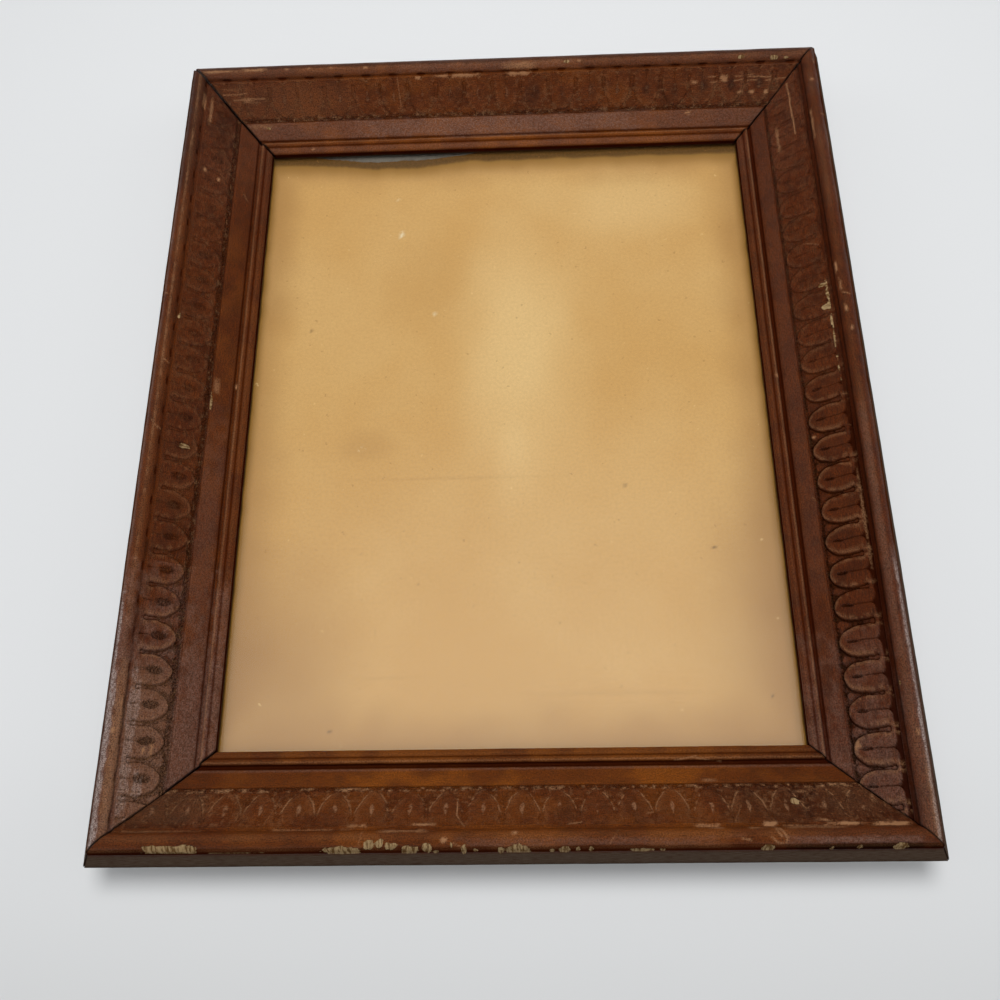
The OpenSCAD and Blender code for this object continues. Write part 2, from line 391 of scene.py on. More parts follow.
@dataclass(frozen=True)
class Mark:
    """One mark of wear, or a patch of painted sheen: where it starts and ends on the face, and how strong it
    is.
    """

    wear: Wear
    s0: float
    t0: float
    s1: float
    t1: float
    strength: float = 1.0
    width: float = 0.35

    def near(self, s: Array, t: Array) -> Array:
        """Where the mark can reach, which is its box and a margin round it.

        Args:
            s: Place along the rail.
            t: Distance along the face.

        Returns:
            Whether each point lies there.
        """
        spare = 20 if self.wear is Wear.BLOOM else 2
        return ((s > min(self.s0, self.s1) - spare) & (s < max(self.s0, self.s1) + spare)
                & (t > min(self.t0, self.t1) - spare) & (t < max(self.t0, self.t1) + spare))

    def cover(self, s: Array, t: Array) -> Array:
        """How much of the mark lies on each point.

        Formula: a scratch is a hill over the distance to a straight line; a painted sheen fades in from the
        sides of its box; any other mark fills a superellipse, with an edge that noise makes ragged.

        Args:
            s: Place along the rail.
            t: Distance along the face.

        Returns:
            The cover, from 0 to 1.
        """
        if self.wear is Wear.SCRATCH:
            ds, dt = self.s1 - self.s0, self.t1 - self.t0
            k = np.clip(((s - self.s0) * ds + (t - self.t0) * dt) / (ds * ds + dt * dt + 1e-9), 0, 1)
            bow = 0.25 * noise(s / 3, t / 3, 41)
            away = np.hypot(s - self.s0 - k * ds, t - self.t0 - k * dt + bow)
            return self.strength * bump(away, self.width)
        half_s, half_t = (self.s1 - self.s0) / 2, (self.t1 - self.t0) / 2
        off_s, off_t = np.abs(s - self.s0 - half_s), np.abs(t - self.t0 - half_t)
        if self.wear is Wear.BLOOM:
            inside = np.minimum((half_s - off_s) / (16 * self.width), (half_t - off_t) / self.width)
            return self.strength * smooth(-1.0, 1.0, inside + 1.1 * noise(s / 3, t / 2, 37, 3))
        power = 2.0 + 2.0 * min(1.0, half_s / (4 * half_t))
        round_off = ((off_s / half_s) ** power + (off_t / half_t) ** power) ** (1 / power)
        inside = (1 - round_off) * min(half_s, half_t)
        ragged = noise(s / 0.8, t / 0.8, 23, 3) + 0.7 * noise(s / 2.4, t / 2.4, 29)
        reach = 0.22 + 0.2 * min(half_s, half_t, 2.0)
        return self.strength * smooth(-self.width, self.width, inside + reach * ragged)


# Meshes


def make_mesh(name: str, points: Array, faces: Sequence[Sequence[int]], smooth_faces: bool = True,
              ) -> bpy.types.Object:
    """Makes an object at the origin from points in millimetres.

    Args:
        name: Name of the object and its mesh.
        points: Vertices, one row each.
        faces: Vertex numbers of each face, counter-clockwise from outside.
        smooth_faces: Whether the faces are shaded smooth.

    Returns:
        The linked object.
    """
    mesh = bpy.data.meshes.new(name)
    mesh.from_pydata((points * MM).tolist(), [], faces)
    mesh.polygons.foreach_set("use_smooth", np.full(len(mesh.polygons), smooth_faces))
    mesh.update()
    made = bpy.data.objects.new(name, mesh)
    bpy.context.scene.collection.objects.link(made)
    return made


def set_attribute(made: bpy.types.Object, name: str, values: Array) -> None:
    """Stores one number for each vertex, for the material to read."""
    layer = made.data.attributes.new(name, "FLOAT", "POINT")
    layer.data.foreach_set("value", values.astype(np.float32))


def set_uv(made: bpy.types.Object, coordinates: Array) -> None:
    """Stores a UV map.

    Args:
        made: The object.
        coordinates: One coordinate pair for each vertex.
    """
    corner = np.zeros(len(made.data.loops), np.int32)
    made.data.loops.foreach_get("vertex_index", corner)
    layer = made.data.uv_layers.new(name="UVMap")
    layer.data.foreach_set("uv", coordinates[corner].astype(np.float32).ravel())


def dress(made: bpy.types.Object, finish: bpy.types.Material) -> None:
    """Gives an object one material in all its slots."""
    made.data.materials.clear()
    made.data.materials.append(finish)


def strip_faces(low: int, high: int, cells: int, low_step: int, high_step: int) -> list[list[int]]:
    """Faces between two lines of vertices, of which one may have twice as many as the other.

    Args:
        low: First vertex of the lower line.
        high: First vertex of the upper line.
        cells: Count of the coarser line's cells.
        low_step: Vertices to a cell on the lower line, 1 or 2.
        high_step: Vertices to a cell on the upper line, 1 or 2.

    Returns:
        One face for each cell, with four or five corners.
    """
    cell = np.arange(cells)
    lower = [low + cell * low_step + k for k in range(low_step + 1)]
    upper = [high + cell * high_step + k for k in range(high_step, -1, -1)]
    return np.stack(lower + upper, 1).tolist()


# The rails


# At a mitre, the share of dark and the depth of the rounding, and how many millimetres each reaches
END_DARK = (0.9, 0.45)
END_DROP = (0.22, 0.5)
# Millimetres in one unit of the rails' UV maps, and the start of the back there and the step of its rows
UV_UNIT = 100.0
UV_BACK = (60.0, 3.0)
# How much of the outer side's look the back has
BACK_SIDE = 0.85


@dataclass(frozen=True)
class Spots:
    """What the relief and the wear of a rail have in common, at each point of its face.

    crisp says how clearly the border stands and press how deep it is pressed; end is 1 near a mitre and
    carved 1 on the carved band; worn is a slow noise, fine a quick one and shows what both leave of a
    faded line; crumbs is the crumbled polish at a faded rail's ends; notch the nicks along the rim;
    rim_line the line under the rim; rebate the sunk strip beyond the lobes; parts the border's parts.
    """

    s: Array
    t: Array
    crisp: Array
    press: Array
    end: Array
    carved: Array
    worn: Array
    fine: Array
    shows: Array
    crumbs: Array
    notch: Array
    rim_line: Array
    rebate: Array
    parts: dict[str, Array]


@dataclass
class Rail:
    """One mitred rail: the moulding carried along its length, pressed, worn and cut at both ends.

    crisp holds places along the rail and how clearly the border stands there, and cut what is taken off
    the left and the right end, at the outer and at the inner edge. groove says how deep the line under the
    rim is and how much painted shade lies in it, pocket how much painted shade lies before the bead, dirt
    how much dirt and painted shade lie in the lines, faded how far the border is worn flat, and warmth how
    red-brown the rail is.
    """

    side: Side
    border: Border
    crisp: tuple[Pair, ...]
    marks: tuple[Mark, ...]
    cut: tuple[Pair, Pair]
    moulding: Moulding
    groove: float
    pocket: float
    dirt: float
    faded: float
    warmth: float
    seed: int
    cells: int = 580
    joint: float = 0.1
    usual_half: float = 115.0

    @property
    def name(self) -> str:
        """Name of the rail, as on its CAD node."""
        return f"{self.side.name.lower()}_rail"

    def columns(self) -> Array:
        """Places of the fine columns from -1 to 1.

        Formula: even steps, with closer ones in the last half millimetre of a rail of the usual half
        length, and one more column halfway between each two.

        Returns:
            The places, of which every other one is a coarse column.
        """
        near = np.array([0.0, 0.1, 0.25, 0.5]) / self.usual_half
        core = np.linspace(-1 + 2 * near[-1], 1 - 2 * near[-1], self.cells + 1 - 2 * len(near))
        coarse = np.r_[-1 + near, core, (1 - near)[::-1]]
        fine = np.empty(2 * len(coarse) - 1)
        fine[::2] = coarse
        fine[1::2] = (coarse[1:] + coarse[:-1]) / 2
        return fine

    def half_lengths(self, u: Array, length: float) -> tuple[Array, Array]:
        """Distance from the rail's middle to its left and right ends at a section place u.

        Formula: half the length less u less half the open joint, and less the end's own cut, which
        goes evenly from its outer to its inner value.

        Args:
            u: Distance from the rail's outer edge.
            length: The rail's length over its outer edge.

        Returns:
            The distances to the left and to the right end.
        """
        k = u / self.moulding.width
        ends = [length / 2 - self.joint - u - (outer * (1 - k) + inner * k) for outer, inner in self.cut]
        return ends[0], ends[1]

    def spots(self, s: Array, t: Array) -> Spots:
        """Works out what the relief and the wear share.

        Args:
            s: Place along the rail.
            t: Distance along the face, negative on the back.

        Returns:
            The shared layers.
        """
        m = self.moulding
        crisp = np.interp(s, *zip(*self.crisp))
        end = smooth(0.38, 0.85, np.abs(s) / np.abs(s).max())
        carved = smooth(m.groove_t - 0.1, m.groove_t + 0.25, t) * (1 - smooth(m.carve_t - 0.1, m.carve_t, t))
        parts = self.border.relief(s, m.carve_t - t)
        notch = parts.pop("notch") * (1 - self.groove) * (t > m.rim_t - 1.5)
        parts = {key: part * carved for key, part in parts.items()}
        parts["oval"] *= 1 - self.faded
        worn = 0.5 + 0.5 * noise(s / 9, t / 7, 61 + self.seed, 3)
        fine = 0.5 + 0.5 * noise(s / 1.3, t / 0.9, 67 + self.seed, 3)
        return Spots(
            s, t, crisp, 0.12 + 0.88 * crisp, end, carved, worn, fine,
            shows=smooth(0.38, 0.52, 0.6 * fine + 0.4 * worn), crumbs=self.faded ** 2 * end * carved,
            notch=notch, rim_line=bump(t - m.rim_t - 0.8, 1.1),
            rebate=self.groove * parts["lobe"] * (0.25 + 0.75 * crisp), parts=parts)

    def relief(self, at: Spots) -> Array:
        """Height of the face over the plain section, before chips and scratches.

        Formula: each part of the border is pressed to its own depth, times how deep the press is there;
        a tongue is rounded down to its edges; and three noises leave the polish uneven.

        Args:
            at: What the rail's layers share.

        Returns:
            The height in millimetres, negative where it is sunk.
        """
        s, t, seed, parts = at.s, at.t, self.seed, at.parts
        deep = {"line": 0.45, "oval": 0.5, "vein": 0.34, "fork": 0.42, "dart": -0.08,
                "ground": 0.25 * (1 - self.faded)}
        depth = -at.press * sum(share * parts[key] for key, share in deep.items())
        depth += at.press * 0.6 * (parts["soft"] - 1) * at.carved
        depth -= (0.2 + 0.45 * self.groove) * parts["lobe"] + 0.3 * at.notch
        depth += 0.45 * (1 - self.groove) * at.rim_line
        depth += 0.06 * noise(s / 14, t / 5, 3 + seed, 2) - 0.09
        depth += 0.03 * noise(s / 5, t / 0.7, 7 + seed, 2) * (t > 0)
        depth += 0.04 * at.carved * noise(s / 0.8, t / 0.8, 13 + seed, 2)
        return depth

    def shade(self, at: Spots) -> Array:
        """Share of painted shade in the grooves, in the quirks, under the rim and on the sight edge.

        Formula: a hill over each line of the moulding, a band with a worn edge below the rim, the sunk
        strip beyond the lobes, the nicks, and a smooth step at the sight edge, all added up.

        Args:
            at: What the rail's layers share.

        Returns:
            The share, which may pass 1.
        """
        m, t, worn = self.moulding, at.t, at.worn
        quirk = 0.8 * bump(t - m.carve_t - 0.25, 0.4) * (0.4 + 0.6 * worn)
        crease = bump(t - m.plain_t + 0.1, 0.55) + 0.9 * bump(t - m.bead_t + 0.1, 0.6)
        pocket = bump((t - m.plain_t - 1.0) / 1.75, 1.0) ** 0.5
        flank = smooth(7.7, 8.1, t) * (1 - smooth(10.9, 11.9, t + 0.8 * (worn - 0.5)))
        sunk = (0.9 * self.groove * at.rim_line + at.rebate) * (1 - 0.5 * self.dirt)
        return (quirk + 0.8 * crease + self.pocket * pocket + 0.95 * flank + sunk
                + 0.65 * at.notch * (0.5 + worn) + smooth(m.lip_t + 0.2, m.lip_t + 0.5, t))

    def dirt_and_line_shade(self, at: Spots) -> Array:
        """Share of dirt and painted shade in the border's lines.

        Formula: the lines, veins and ovals hold it, the ground and the strip beyond the lobes as the
        rail's dirt says, all less where the border is faded or not crisp; crumbs of it lie at the ends.

        Args:
            at: What the rail's layers share.

        Returns:
            The share.
        """
        parts = at.parts
        gritty = smooth(0.25, 0.7, at.fine) * (0.95 * parts["fork"] + 0.75 * parts["ground"])
        edge = 1.3 * (at.rebate + 0.8 * self.groove * at.rim_line)
        line = parts["line"] + 0.8 * parts["vein"] + 0.65 * parts["oval"] + self.dirt * (gritty + edge)
        line = np.clip(line, 0, 1) * (1 - 0.8 * self.faded)
        return (line + 0.3 * at.crumbs * (1 - smooth(0.3, 0.6, at.fine))) * (0.3 + 0.7 * at.crisp)

    def rubbed_and_highlit(self, at: Spots) -> Array:
        """Share of finish that handling has thinned, and of painted highlights laid on with it.

        Formula: a hill over each edge that a hand or a cloth meets, which also stands for its painted
        highlight; and, by noise, painted highlights on the border's raised edges where it is crisp, and its
        worn-through lines and scalloped arcs, pale from wear and painted highlight, where it is faded.

        Args:
            at: What the rail's layers share.

        Returns:
            The share, which may pass 1.
        """
        m, parts, faded, soft = self.moulding, at.parts, self.faded, at.parts["soft"]
        # Middle and half width of each edge, and its wear and painted highlight where it is kept and where it
        # is worn
        edges = ((14.6, 1.8, 0.03, 0.18), (m.side_t + 2.6, 1.2, 0.0, 0.3), (m.bead_t - 1.5, 0.5, 0.2, 0.45),
                 (m.lip_t - 1.7, 0.4, 0.15, 0.0), (m.carve_t + 1.2, 0.4, 0.0, 0.4))
        rub = sum(bump(at.t - middle, half) * (kept + more * at.worn) for middle, half, kept, more in edges)
        dots = 0.5 + 0.5 * noise(at.s / 0.8, at.t / 0.8, 71 + self.seed, 2)
        rub += 0.34 * at.crumbs * smooth(0.6, 0.8, dots)
        # Painted highlight on the scalloped arcs of a half-worn border
        rub += 2.0 * faded * (1 - faded) * parts["scallop"] * at.shows
        # Pale lines round the tongues' tips and middles: wear and painted highlight
        lines = 0.85 * parts["arch"] + 0.6 * parts["almond"]
        rub += faded * lines * at.shows * smooth(0.12, 0.24, at.crisp)
        flat = 0.1 * (1 - at.crisp) * at.carved + 0.35 * faded * parts["ground"]
        rub += flat * smooth(0.4, 0.7, at.fine)
        rub += 0.5 * (1 - self.dirt) * (parts["ground"] + 0.5 * parts["fork"]) * smooth(0.5, 0.8, at.fine)
        # Painted highlight on the tongues' rounded raised edges
        return rub + 0.5 * at.crisp * at.carved * at.shows * bump(soft - 0.75, 0.3) * (soft < 0.99)

    def layers(self, s: Array, t: Array) -> dict[str, Array]:
        """Relief and wear at each point of the face, with the rail's own marks laid over them.

        Args:
            s: Place along the rail.
            t: Distance along the face, negative on the back.

        Returns:
            depth in millimetres, and from 0 to 1 the shares line (dirt and painted shade in a line), hollow
            (painted shade in a groove), the rubs with painted highlights, bare, stain, pitted, the painted
            sheen (a pale film of reflected light), side (the outer side) and warm.
        """
        at = self.spots(s, t)
        parts, worn, sunk = at.parts, at.worn, 1 - self.faded
        # Painted sheen: pale reflected light laid on as colour, more near the ends and on faded tongues'
        # middles
        painted_sheen = (0.05 * worn * (1 - at.carved) + 0.35 * self.faded * parts["almond"] * at.shows
                + 0.22 * at.end * worn * sunk)
        pitted = np.maximum(parts["ground"] * (0.4 + 0.6 * sunk), at.press * parts["oval"])
        warm = self.warmth * (0.4 + 0.6 * smooth(0.3, 0.7, worn)) * (1 - 0.62 * at.carved)
        layers = {
            # Dirt and painted shade in the lines, painted shade in the grooves, rubs and painted highlights
            "line": self.dirt_and_line_shade(at), "hollow": self.shade(at), "rub": self.rubbed_and_highlit(at),
            "bare": np.zeros_like(s), "stain": np.zeros_like(s),
            "pitted": pitted + 0.5 * at.press * parts["fork"], "painted_sheen": painted_sheen,
            "side": 1 - smooth(7.6, 8.0, t),
            "warm": warm * (1 - 0.6 * at.end) * (1 - 0.35 * (t < self.moulding.groove_t))}
        depth = self.relief(at)
        for mark in self.marks:
            near = mark.near(s, t)
            cover = mark.cover(s[near], t[near])
            share, deep = mark.wear.value
            layers[share][near] = np.maximum(layers[share][near], cover)
            depth[near] -= deep * cover
        return {"depth": depth, **{key: np.clip(share, 0, 1) for key, share in layers.items()}}

    def build(self, width: float, height: float, wood: bpy.types.Material) -> bpy.types.Object:
        """Builds the rail's mesh in place.

        Formula: a vertex is its section place moved along its row's normal by the relief, at a share of
        the rail's half length there, turned by a quarter turn for each side.

        Args:
            width: The frame's width.
            height: The frame's height.
            wood: The rail's finish.

        Returns:
            The rail, with its UV map and wear attributes.
        """
        reach, length = (height / 2, width) if self.side in (Side.BOTTOM, Side.TOP) else (width / 2, height)
        m = self.moulding
        place, normal, face_t = m.rows()
        steps = np.where((face_t > m.groove_t) & (face_t < m.carve_t), 2, 1)
        counts = self.cells * steps + 1
        first = np.r_[0, np.cumsum(counts)]
        row = np.repeat(np.arange(len(place)), counts)
        columns = self.columns()
        share = np.concatenate([columns[::2 // step] for step in steps])
        t = face_t[row]
        left, right = self.half_lengths(place[row, 0], length)
        s = share * (left + right) / 2 + (right - left) / 2
        layers = self.layers(s, t)
        from_end = np.minimum(s + left, right - s)
        dark, drop = (top * np.clip(1 - from_end / far, 0, 1) ** power
                      for (top, far), power in ((END_DARK, 1), (END_DROP, 2)))
        layers["stain"] = np.maximum(layers["stain"], dark)
        depth = np.where(t > 0, layers.pop("depth") - drop, 0)
        u, z = (place[row] + depth[:, None] * normal[row]).T
        left, right = self.half_lengths(u, length)
        s = share * (left + right) / 2 + (right - left) / 2
        turn = np.pi / 2 * int(self.side)
        y = u - reach
        points = np.stack([s * np.cos(turn) - y * np.sin(turn), s * np.sin(turn) + y * np.cos(turn), z], 1)
        faces = []
        for r in range(len(place)):
            after = (r + 1) % len(place)
            dense = steps[r] == steps[after] == 2
            both = (2 * self.cells, 1, 1) if dense else (self.cells, steps[r], steps[after])
            faces += strip_faces(first[r], first[after], *both)
        faces += [list(first[:-1]), list((first[1:] - 1)[::-1])]
        made = make_mesh(self.name.replace("_rail", "_moulding"), points, faces)
        set_uv(made, np.stack([s, np.where(t > 0, t, UV_BACK[0] - UV_BACK[1] * t)], 1) / UV_UNIT)
        for key, values in layers.items():
            set_attribute(made, key, np.where(t > 0, values, BACK_SIDE if key == "side" else 0))
        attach(made, "root")
        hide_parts(self.name)
        dress(made, wood)
        return made


# Finishes


class Nodes:
    """A node tree under construction, with short names for the nodes that are used most."""

    def __init__(self, tree: bpy.types.NodeTree) -> None:
        """Starts on a tree."""
        self.tree = tree

    def link(self, source: object, target: bpy.types.NodeSocket) -> None:
        """Feeds a socket.

        Args:
            source: An output, a number, a colour or a vector.
            target: The input that takes it.
        """
        if isinstance(source, bpy.types.NodeSocket):
            self.tree.links.new(source, target)
        elif target.type == "RGBA":
            target.default_value = (*source, 1.0)
        else:
            target.default_value = source

    def node(self, kind: str, feeds: dict[int | str, object], **settings: object) -> bpy.types.Node:
        """Adds a node.

        Args:
            kind: The node's type.
            feeds: What goes into its inputs, by their names or numbers.
            settings: Its own properties.

        Returns:
            The node.
        """
        made = self.tree.nodes.new(kind)
        for key, value in settings.items():
            setattr(made, key, value)
        for key, source in feeds.items():
            self.link(source, made.inputs[key])
        return made

    def coords(self, kind: str = "Object", scale: Triple = (1, 1, 1)) -> object:
        """Object or UV coordinates, scaled."""
        place = self.node("ShaderNodeTexCoord", {}).outputs[kind]
        return self.node("ShaderNodeMapping", {"Vector": place, "Scale": scale}).outputs["Vector"]

    def noise(self, vector: object, scale: float, detail: float = 3.0, rough: float = 0.55) -> object:
        """Fractal noise from about 0.3 to 0.7."""
        feeds = {"Vector": vector, "Scale": scale, "Detail": detail, "Roughness": rough}
        return self.node("ShaderNodeTexNoise", feeds).outputs["Fac"]

    def cells(self, vector: object, scale: float) -> object:
        """Distance to the nearest of a scatter of points."""
        return self.node("ShaderNodeTexVoronoi", {"Vector": vector, "Scale": scale}).outputs["Distance"]

    def attribute(self, name: str) -> object:
        """A number that the mesh holds at each vertex."""
        return self.node("ShaderNodeAttribute", {}, attribute_name=name).outputs["Fac"]

    def math(self, operation: str, a: object, b: object = 0.0) -> object:
        """One step of arithmetic."""
        return self.node("ShaderNodeMath", {0: a, 1: b}, operation=operation).outputs[0]

    def times(self, a: object, b: object) -> object:
        """One value times another."""
        return self.math("MULTIPLY", a, b)

    def spread(self, value: object, low: float, high: float, to_low: float = 0.0, to_high: float = 1.0,
               ) -> object:
        """Carries a range onto another along a smooth step, held at its ends."""
        feeds = dict(enumerate((value, low, high, to_low, to_high)))
        return self.node("ShaderNodeMapRange", feeds, interpolation_type="SMOOTHSTEP").outputs[0]

    def mix(self, factor: object, a: object, b: object, blend: str = "MIX") -> object:
        """Mixes two colours, b over a."""
        feeds = {0: factor, 6: a, 7: b}
        return self.node("ShaderNodeMix", feeds, data_type="RGBA", blend_type=blend).outputs[2]

    def lay(self, colour: object, share: str, strength: float, over: object) -> object:
        """Lays a colour over another by the mesh's own share, at a strength."""
        return self.mix(self.times(self.attribute(share), strength), colour, over)


class Graph(Nodes):
    """A material under construction, whose nodes end in one Principled shader."""

    def __init__(self, name: str) -> None:
        """Starts a material.

        Args:
            name: The material's name.
        """
        self.material = bpy.data.materials.new(name)
        self.material.use_nodes = True
        super().__init__(self.material.node_tree)
        self.tree.nodes.clear()
        self.shader = self.node("ShaderNodeBsdfPrincipled", {})
        self.output = self.node("ShaderNodeOutputMaterial", {"Surface": self.shader.outputs[0]})

    def feed(self, **sources: object) -> None:
        """Feeds inputs of the shader, each by its name with _ for a space."""
        for socket, source in sources.items():
            self.link(source, self.shader.inputs[socket.replace("_", " ")])

    def bump(self, height: object, distance: float, strength: float = 1.0) -> None:
        """Roughens the surface, over any bump that is there.

        Args:
            height: What the surface rises by.
            distance: Metres that a height of 1 stands for.
            strength: Share of the bump that shows.
        """
        normal = self.shader.inputs["Normal"]
        feeds = {"Strength": strength, "Distance": distance, "Height": height}
        if normal.is_linked:
            feeds["Normal"] = normal.links[0].from_socket
        self.link(self.node("ShaderNodeBump", feeds).outputs["Normal"], normal)


class Finish:
    """What all finishes share: each one paints its own colour, gloss and bumps."""

    def paint(self, g: Graph) -> None:
        """Paints the finish onto a material's nodes."""
        raise NotImplementedError

    def material(self, name: str) -> bpy.types.Material:
        """Makes the finish's material.

        Args:
            name: The material's name.

        Returns:
            The material.
        """
        g = Graph(name)
        self.paint(g)
        return g.material


@dataclass(frozen=True)
class StainedWood(Finish):
    """Mahogany stained red-brown, with dirt and painted shade in its lines and grooves, pale rubs with
    painted highlights, painted sheen, and bare tan breaks.
    """

    tint: Triple = (0.122, 0.0240, 0.0036)
    warm: Triple = (0.265, 0.070, 0.0040)
    deep: Triple = (0.040, 0.0085, 0.0022)
    # Colour of dirt and stains, also laid as painted shade in the border's lines
    dirt: Triple = (0.010, 0.0034, 0.0018)
    # Painted shade in grooves, quirks, under the rim and on the sight edge
    shade: Triple = (0.040, 0.0055, 0.0016)
    # Colour of rubs, also laid as painted highlights
    worn: Triple = (0.470, 0.235, 0.110)
    # Colours of the painted sheen and of the painted glints where it is strongest
    sheen: Triple = (0.230, 0.125, 0.090)
    glint: Triple = (0.560, 0.490, 0.460)
    side: Triple = (0.125, 0.088, 0.064)
    side_deep: Triple = (0.070, 0.036, 0.021)
    bare: Triple = (0.50, 0.335, 0.165)
    bare_deep: Triple = (0.17, 0.085, 0.030)

    def paint(self, g: Graph) -> None:
        """Paints the wood.

        Formula: streaks of noise drawn out along the rail mix the deep and the plain tint, blotches
        deepen them, the warm share reddens them, and painted sheen lies over them, with painted glints where
        it is strongest. Fine specks darken or brighten the whole. Then the outer side, dirt and painted shade
        in the lines, painted shade in the grooves, stains, rubs with painted highlights and bare wood are
        laid on by the mesh's own shares, most of them broken up by noise.

        Args:
            g: The material's nodes.
        """
        flat = g.coords("UV")
        streak = g.noise(g.coords("UV", (1.0, 16.0, 1.0)), 30.0, 6.0, 0.68)
        hair = g.noise(g.coords("UV", (1.0, 9.0, 1.0)), 190.0, 3.0, 0.7)
        torn = g.noise(g.coords("UV", (1.0, 0.14, 1.0)), 110.0, 4.0, 0.75)
        blotch = g.noise(flat, 14.0, 5.0, 0.65)
        speck = g.noise(flat, 210.0, 4.0, 0.8)
        crumb = g.noise(flat, 95.0, 4.0, 0.75)
        share = {key: g.attribute(key) for key in ("warm", "painted_sheen", "side", "line", "hollow", "rub", "bare")}
        colour = g.mix(g.spread(streak, 0.36, 0.60), self.deep, self.tint)
        colour = g.mix(g.spread(blotch, 0.54, 0.38, 0.0, 0.55), colour, self.deep)
        colour = g.mix(g.times(share["warm"], g.spread(streak, 0.3, 0.6, 0.6, 1.0)), colour, self.warm)
        # Painted sheen, and painted glints where it is strongest
        sheen = g.times(share["painted_sheen"], g.spread(crumb, 0.36, 0.62, 0.25, 1.0))
        colour = g.mix(g.times(sheen, 0.9), colour, self.sheen)
        glint = g.times(g.spread(share["painted_sheen"], 0.84, 1.0), g.spread(speck, 0.34, 0.66, 0.2, 1.0))
        glint = g.times(glint, g.spread(crumb, 0.36, 0.58, 0.2, 1.0))
        colour = g.mix(g.times(glint, 0.7), colour, self.glint)
        grain = g.times(g.spread(speck, 0.30, 0.70, 0.40, 1.65), g.spread(hair, 0.28, 0.72, 0.66, 1.34))
        colour = g.mix(1.0, colour, grain, "MULTIPLY")
        side = g.mix(g.spread(streak, 0.40, 0.66), self.side, self.side_deep)
        colour = g.mix(share["side"], colour, side)
        # Dirt and painted shade in the lines
        line = g.times(share["line"], g.spread(speck, 0.25, 0.5, 0.75, 1.0))
        colour = g.mix(g.times(line, 0.9), colour, self.dirt)
        # Painted shade in the grooves, the quirks, under the rim and on the sight edge
        colour = g.lay(colour, "hollow", 0.92, self.shade)
        colour = g.lay(colour, "stain", 0.95, self.dirt)
        # Rubs, and painted highlights
        rub = g.math("MAXIMUM", g.times(share["rub"], g.spread(speck, 0.38, 0.56)),
                     g.spread(share["rub"], 0.70, 1.0, 0.0, 0.9))
        colour = g.mix(g.times(rub, 0.9), colour, self.worn)
        tan = g.mix(g.spread(torn, 0.40, 0.56), self.bare_deep, self.bare)
        colour = g.mix(g.spread(share["bare"], 0.3, 0.55), colour, tan)
        dull = g.math("MAXIMUM", share["side"], share["bare"])
        matt = g.math("MAXIMUM", g.math("MAXIMUM", share["hollow"], share["line"]), dull)
        rough = g.math("ADD", g.spread(blotch, 0.35, 0.65, 0.30, 0.44), g.times(dull, 0.35))
        g.feed(Base_Color=colour, Roughness=rough, Specular_IOR_Level=g.spread(matt, 0.0, 0.85, 0.24, 0.0))
        g.bump(g.math("ADD", streak, g.math("ADD", speck, hair)), 0.00030, 0.9)
        g.bump(g.times(g.cells(flat, 165.0), g.attribute("pitted")), 0.0017)
        g.bump(g.times(torn, share["bare"]), 0.0008)


@dataclass(frozen=True)
class AgedPaper(Finish):
    """Yellowed sheet with specks and stains; painted reflection pales it down its middle, its edges are
    browner from age and painted shade, and painted shadow lies beside the lip.
    """

    tone: Triple = (0.65, 0.365, 0.116)
    pale: Triple = (0.86, 0.60, 0.275)
    brown: Triple = (0.35, 0.165, 0.042)
    # Colours of the painted shadow that the lip casts on the sheet
    gutter: Triple = (0.26, 0.122, 0.014)
    lip_shadow_deep: Triple = (0.050, 0.020, 0.002)
    fleck: Triple = (0.88, 0.74, 0.48)
    spot: Triple = (0.10, 0.05, 0.02)

    def paint(self, g: Graph) -> None:
        """Paints the sheet.

        Formula: soft clouds on the tone; then painted reflection, stains, edges browned by age and painted
        shade, and the olive painted shadow beside the lip by the mesh's own shares; then broken pale flecks,
        dark spots, fibre and fine specks.

        Args:
            g: The material's nodes.
        """
        flat = g.coords()
        fibre, speck = g.noise(flat, 900.0, 3.0, 0.7), g.noise(flat, 360.0, 2.0, 0.6)
        colour = g.mix(g.spread(g.noise(flat, 14.0, 4.0, 0.6), 0.36, 0.68, 0.0, 0.2), self.tone, self.pale)
        # Painted reflection of the room in the glass
        colour = g.lay(colour, "light", 0.8, self.pale)
        colour = g.lay(colour, "stain", 0.66, self.brown)
        # Edges browned by age and by painted shade from the rails
        colour = g.lay(colour, "edge", 0.8, self.brown)
        # Painted shadow beside the lip, darkest at the lip
        colour = g.lay(colour, "gutter", 0.95, self.gutter)
        colour = g.mix(g.spread(g.attribute("gutter"), 0.86, 1.0, 0.0, 0.75), colour, self.lip_shadow_deep)
        broken = g.spread(g.noise(flat, 520.0, 3.0, 0.65), 0.44, 0.56)
        colour = g.mix(g.times(g.times(g.attribute("fleck"), broken), 0.85), colour, self.fleck)
        colour = g.lay(colour, "spot", 0.8, self.spot)
        colour = g.mix(g.spread(fibre, 0.35, 0.7, 0.0, 0.16), colour, self.brown)
        colour = g.mix(g.spread(speck, 0.69, 0.74, 0.0, 0.45), colour, self.brown)
        colour = g.mix(g.spread(speck, 0.29, 0.24, 0.0, 0.40), colour, self.pale)
        g.feed(Base_Color=colour, Roughness=0.85)
        g.bump(fibre, 0.00008, 0.5)


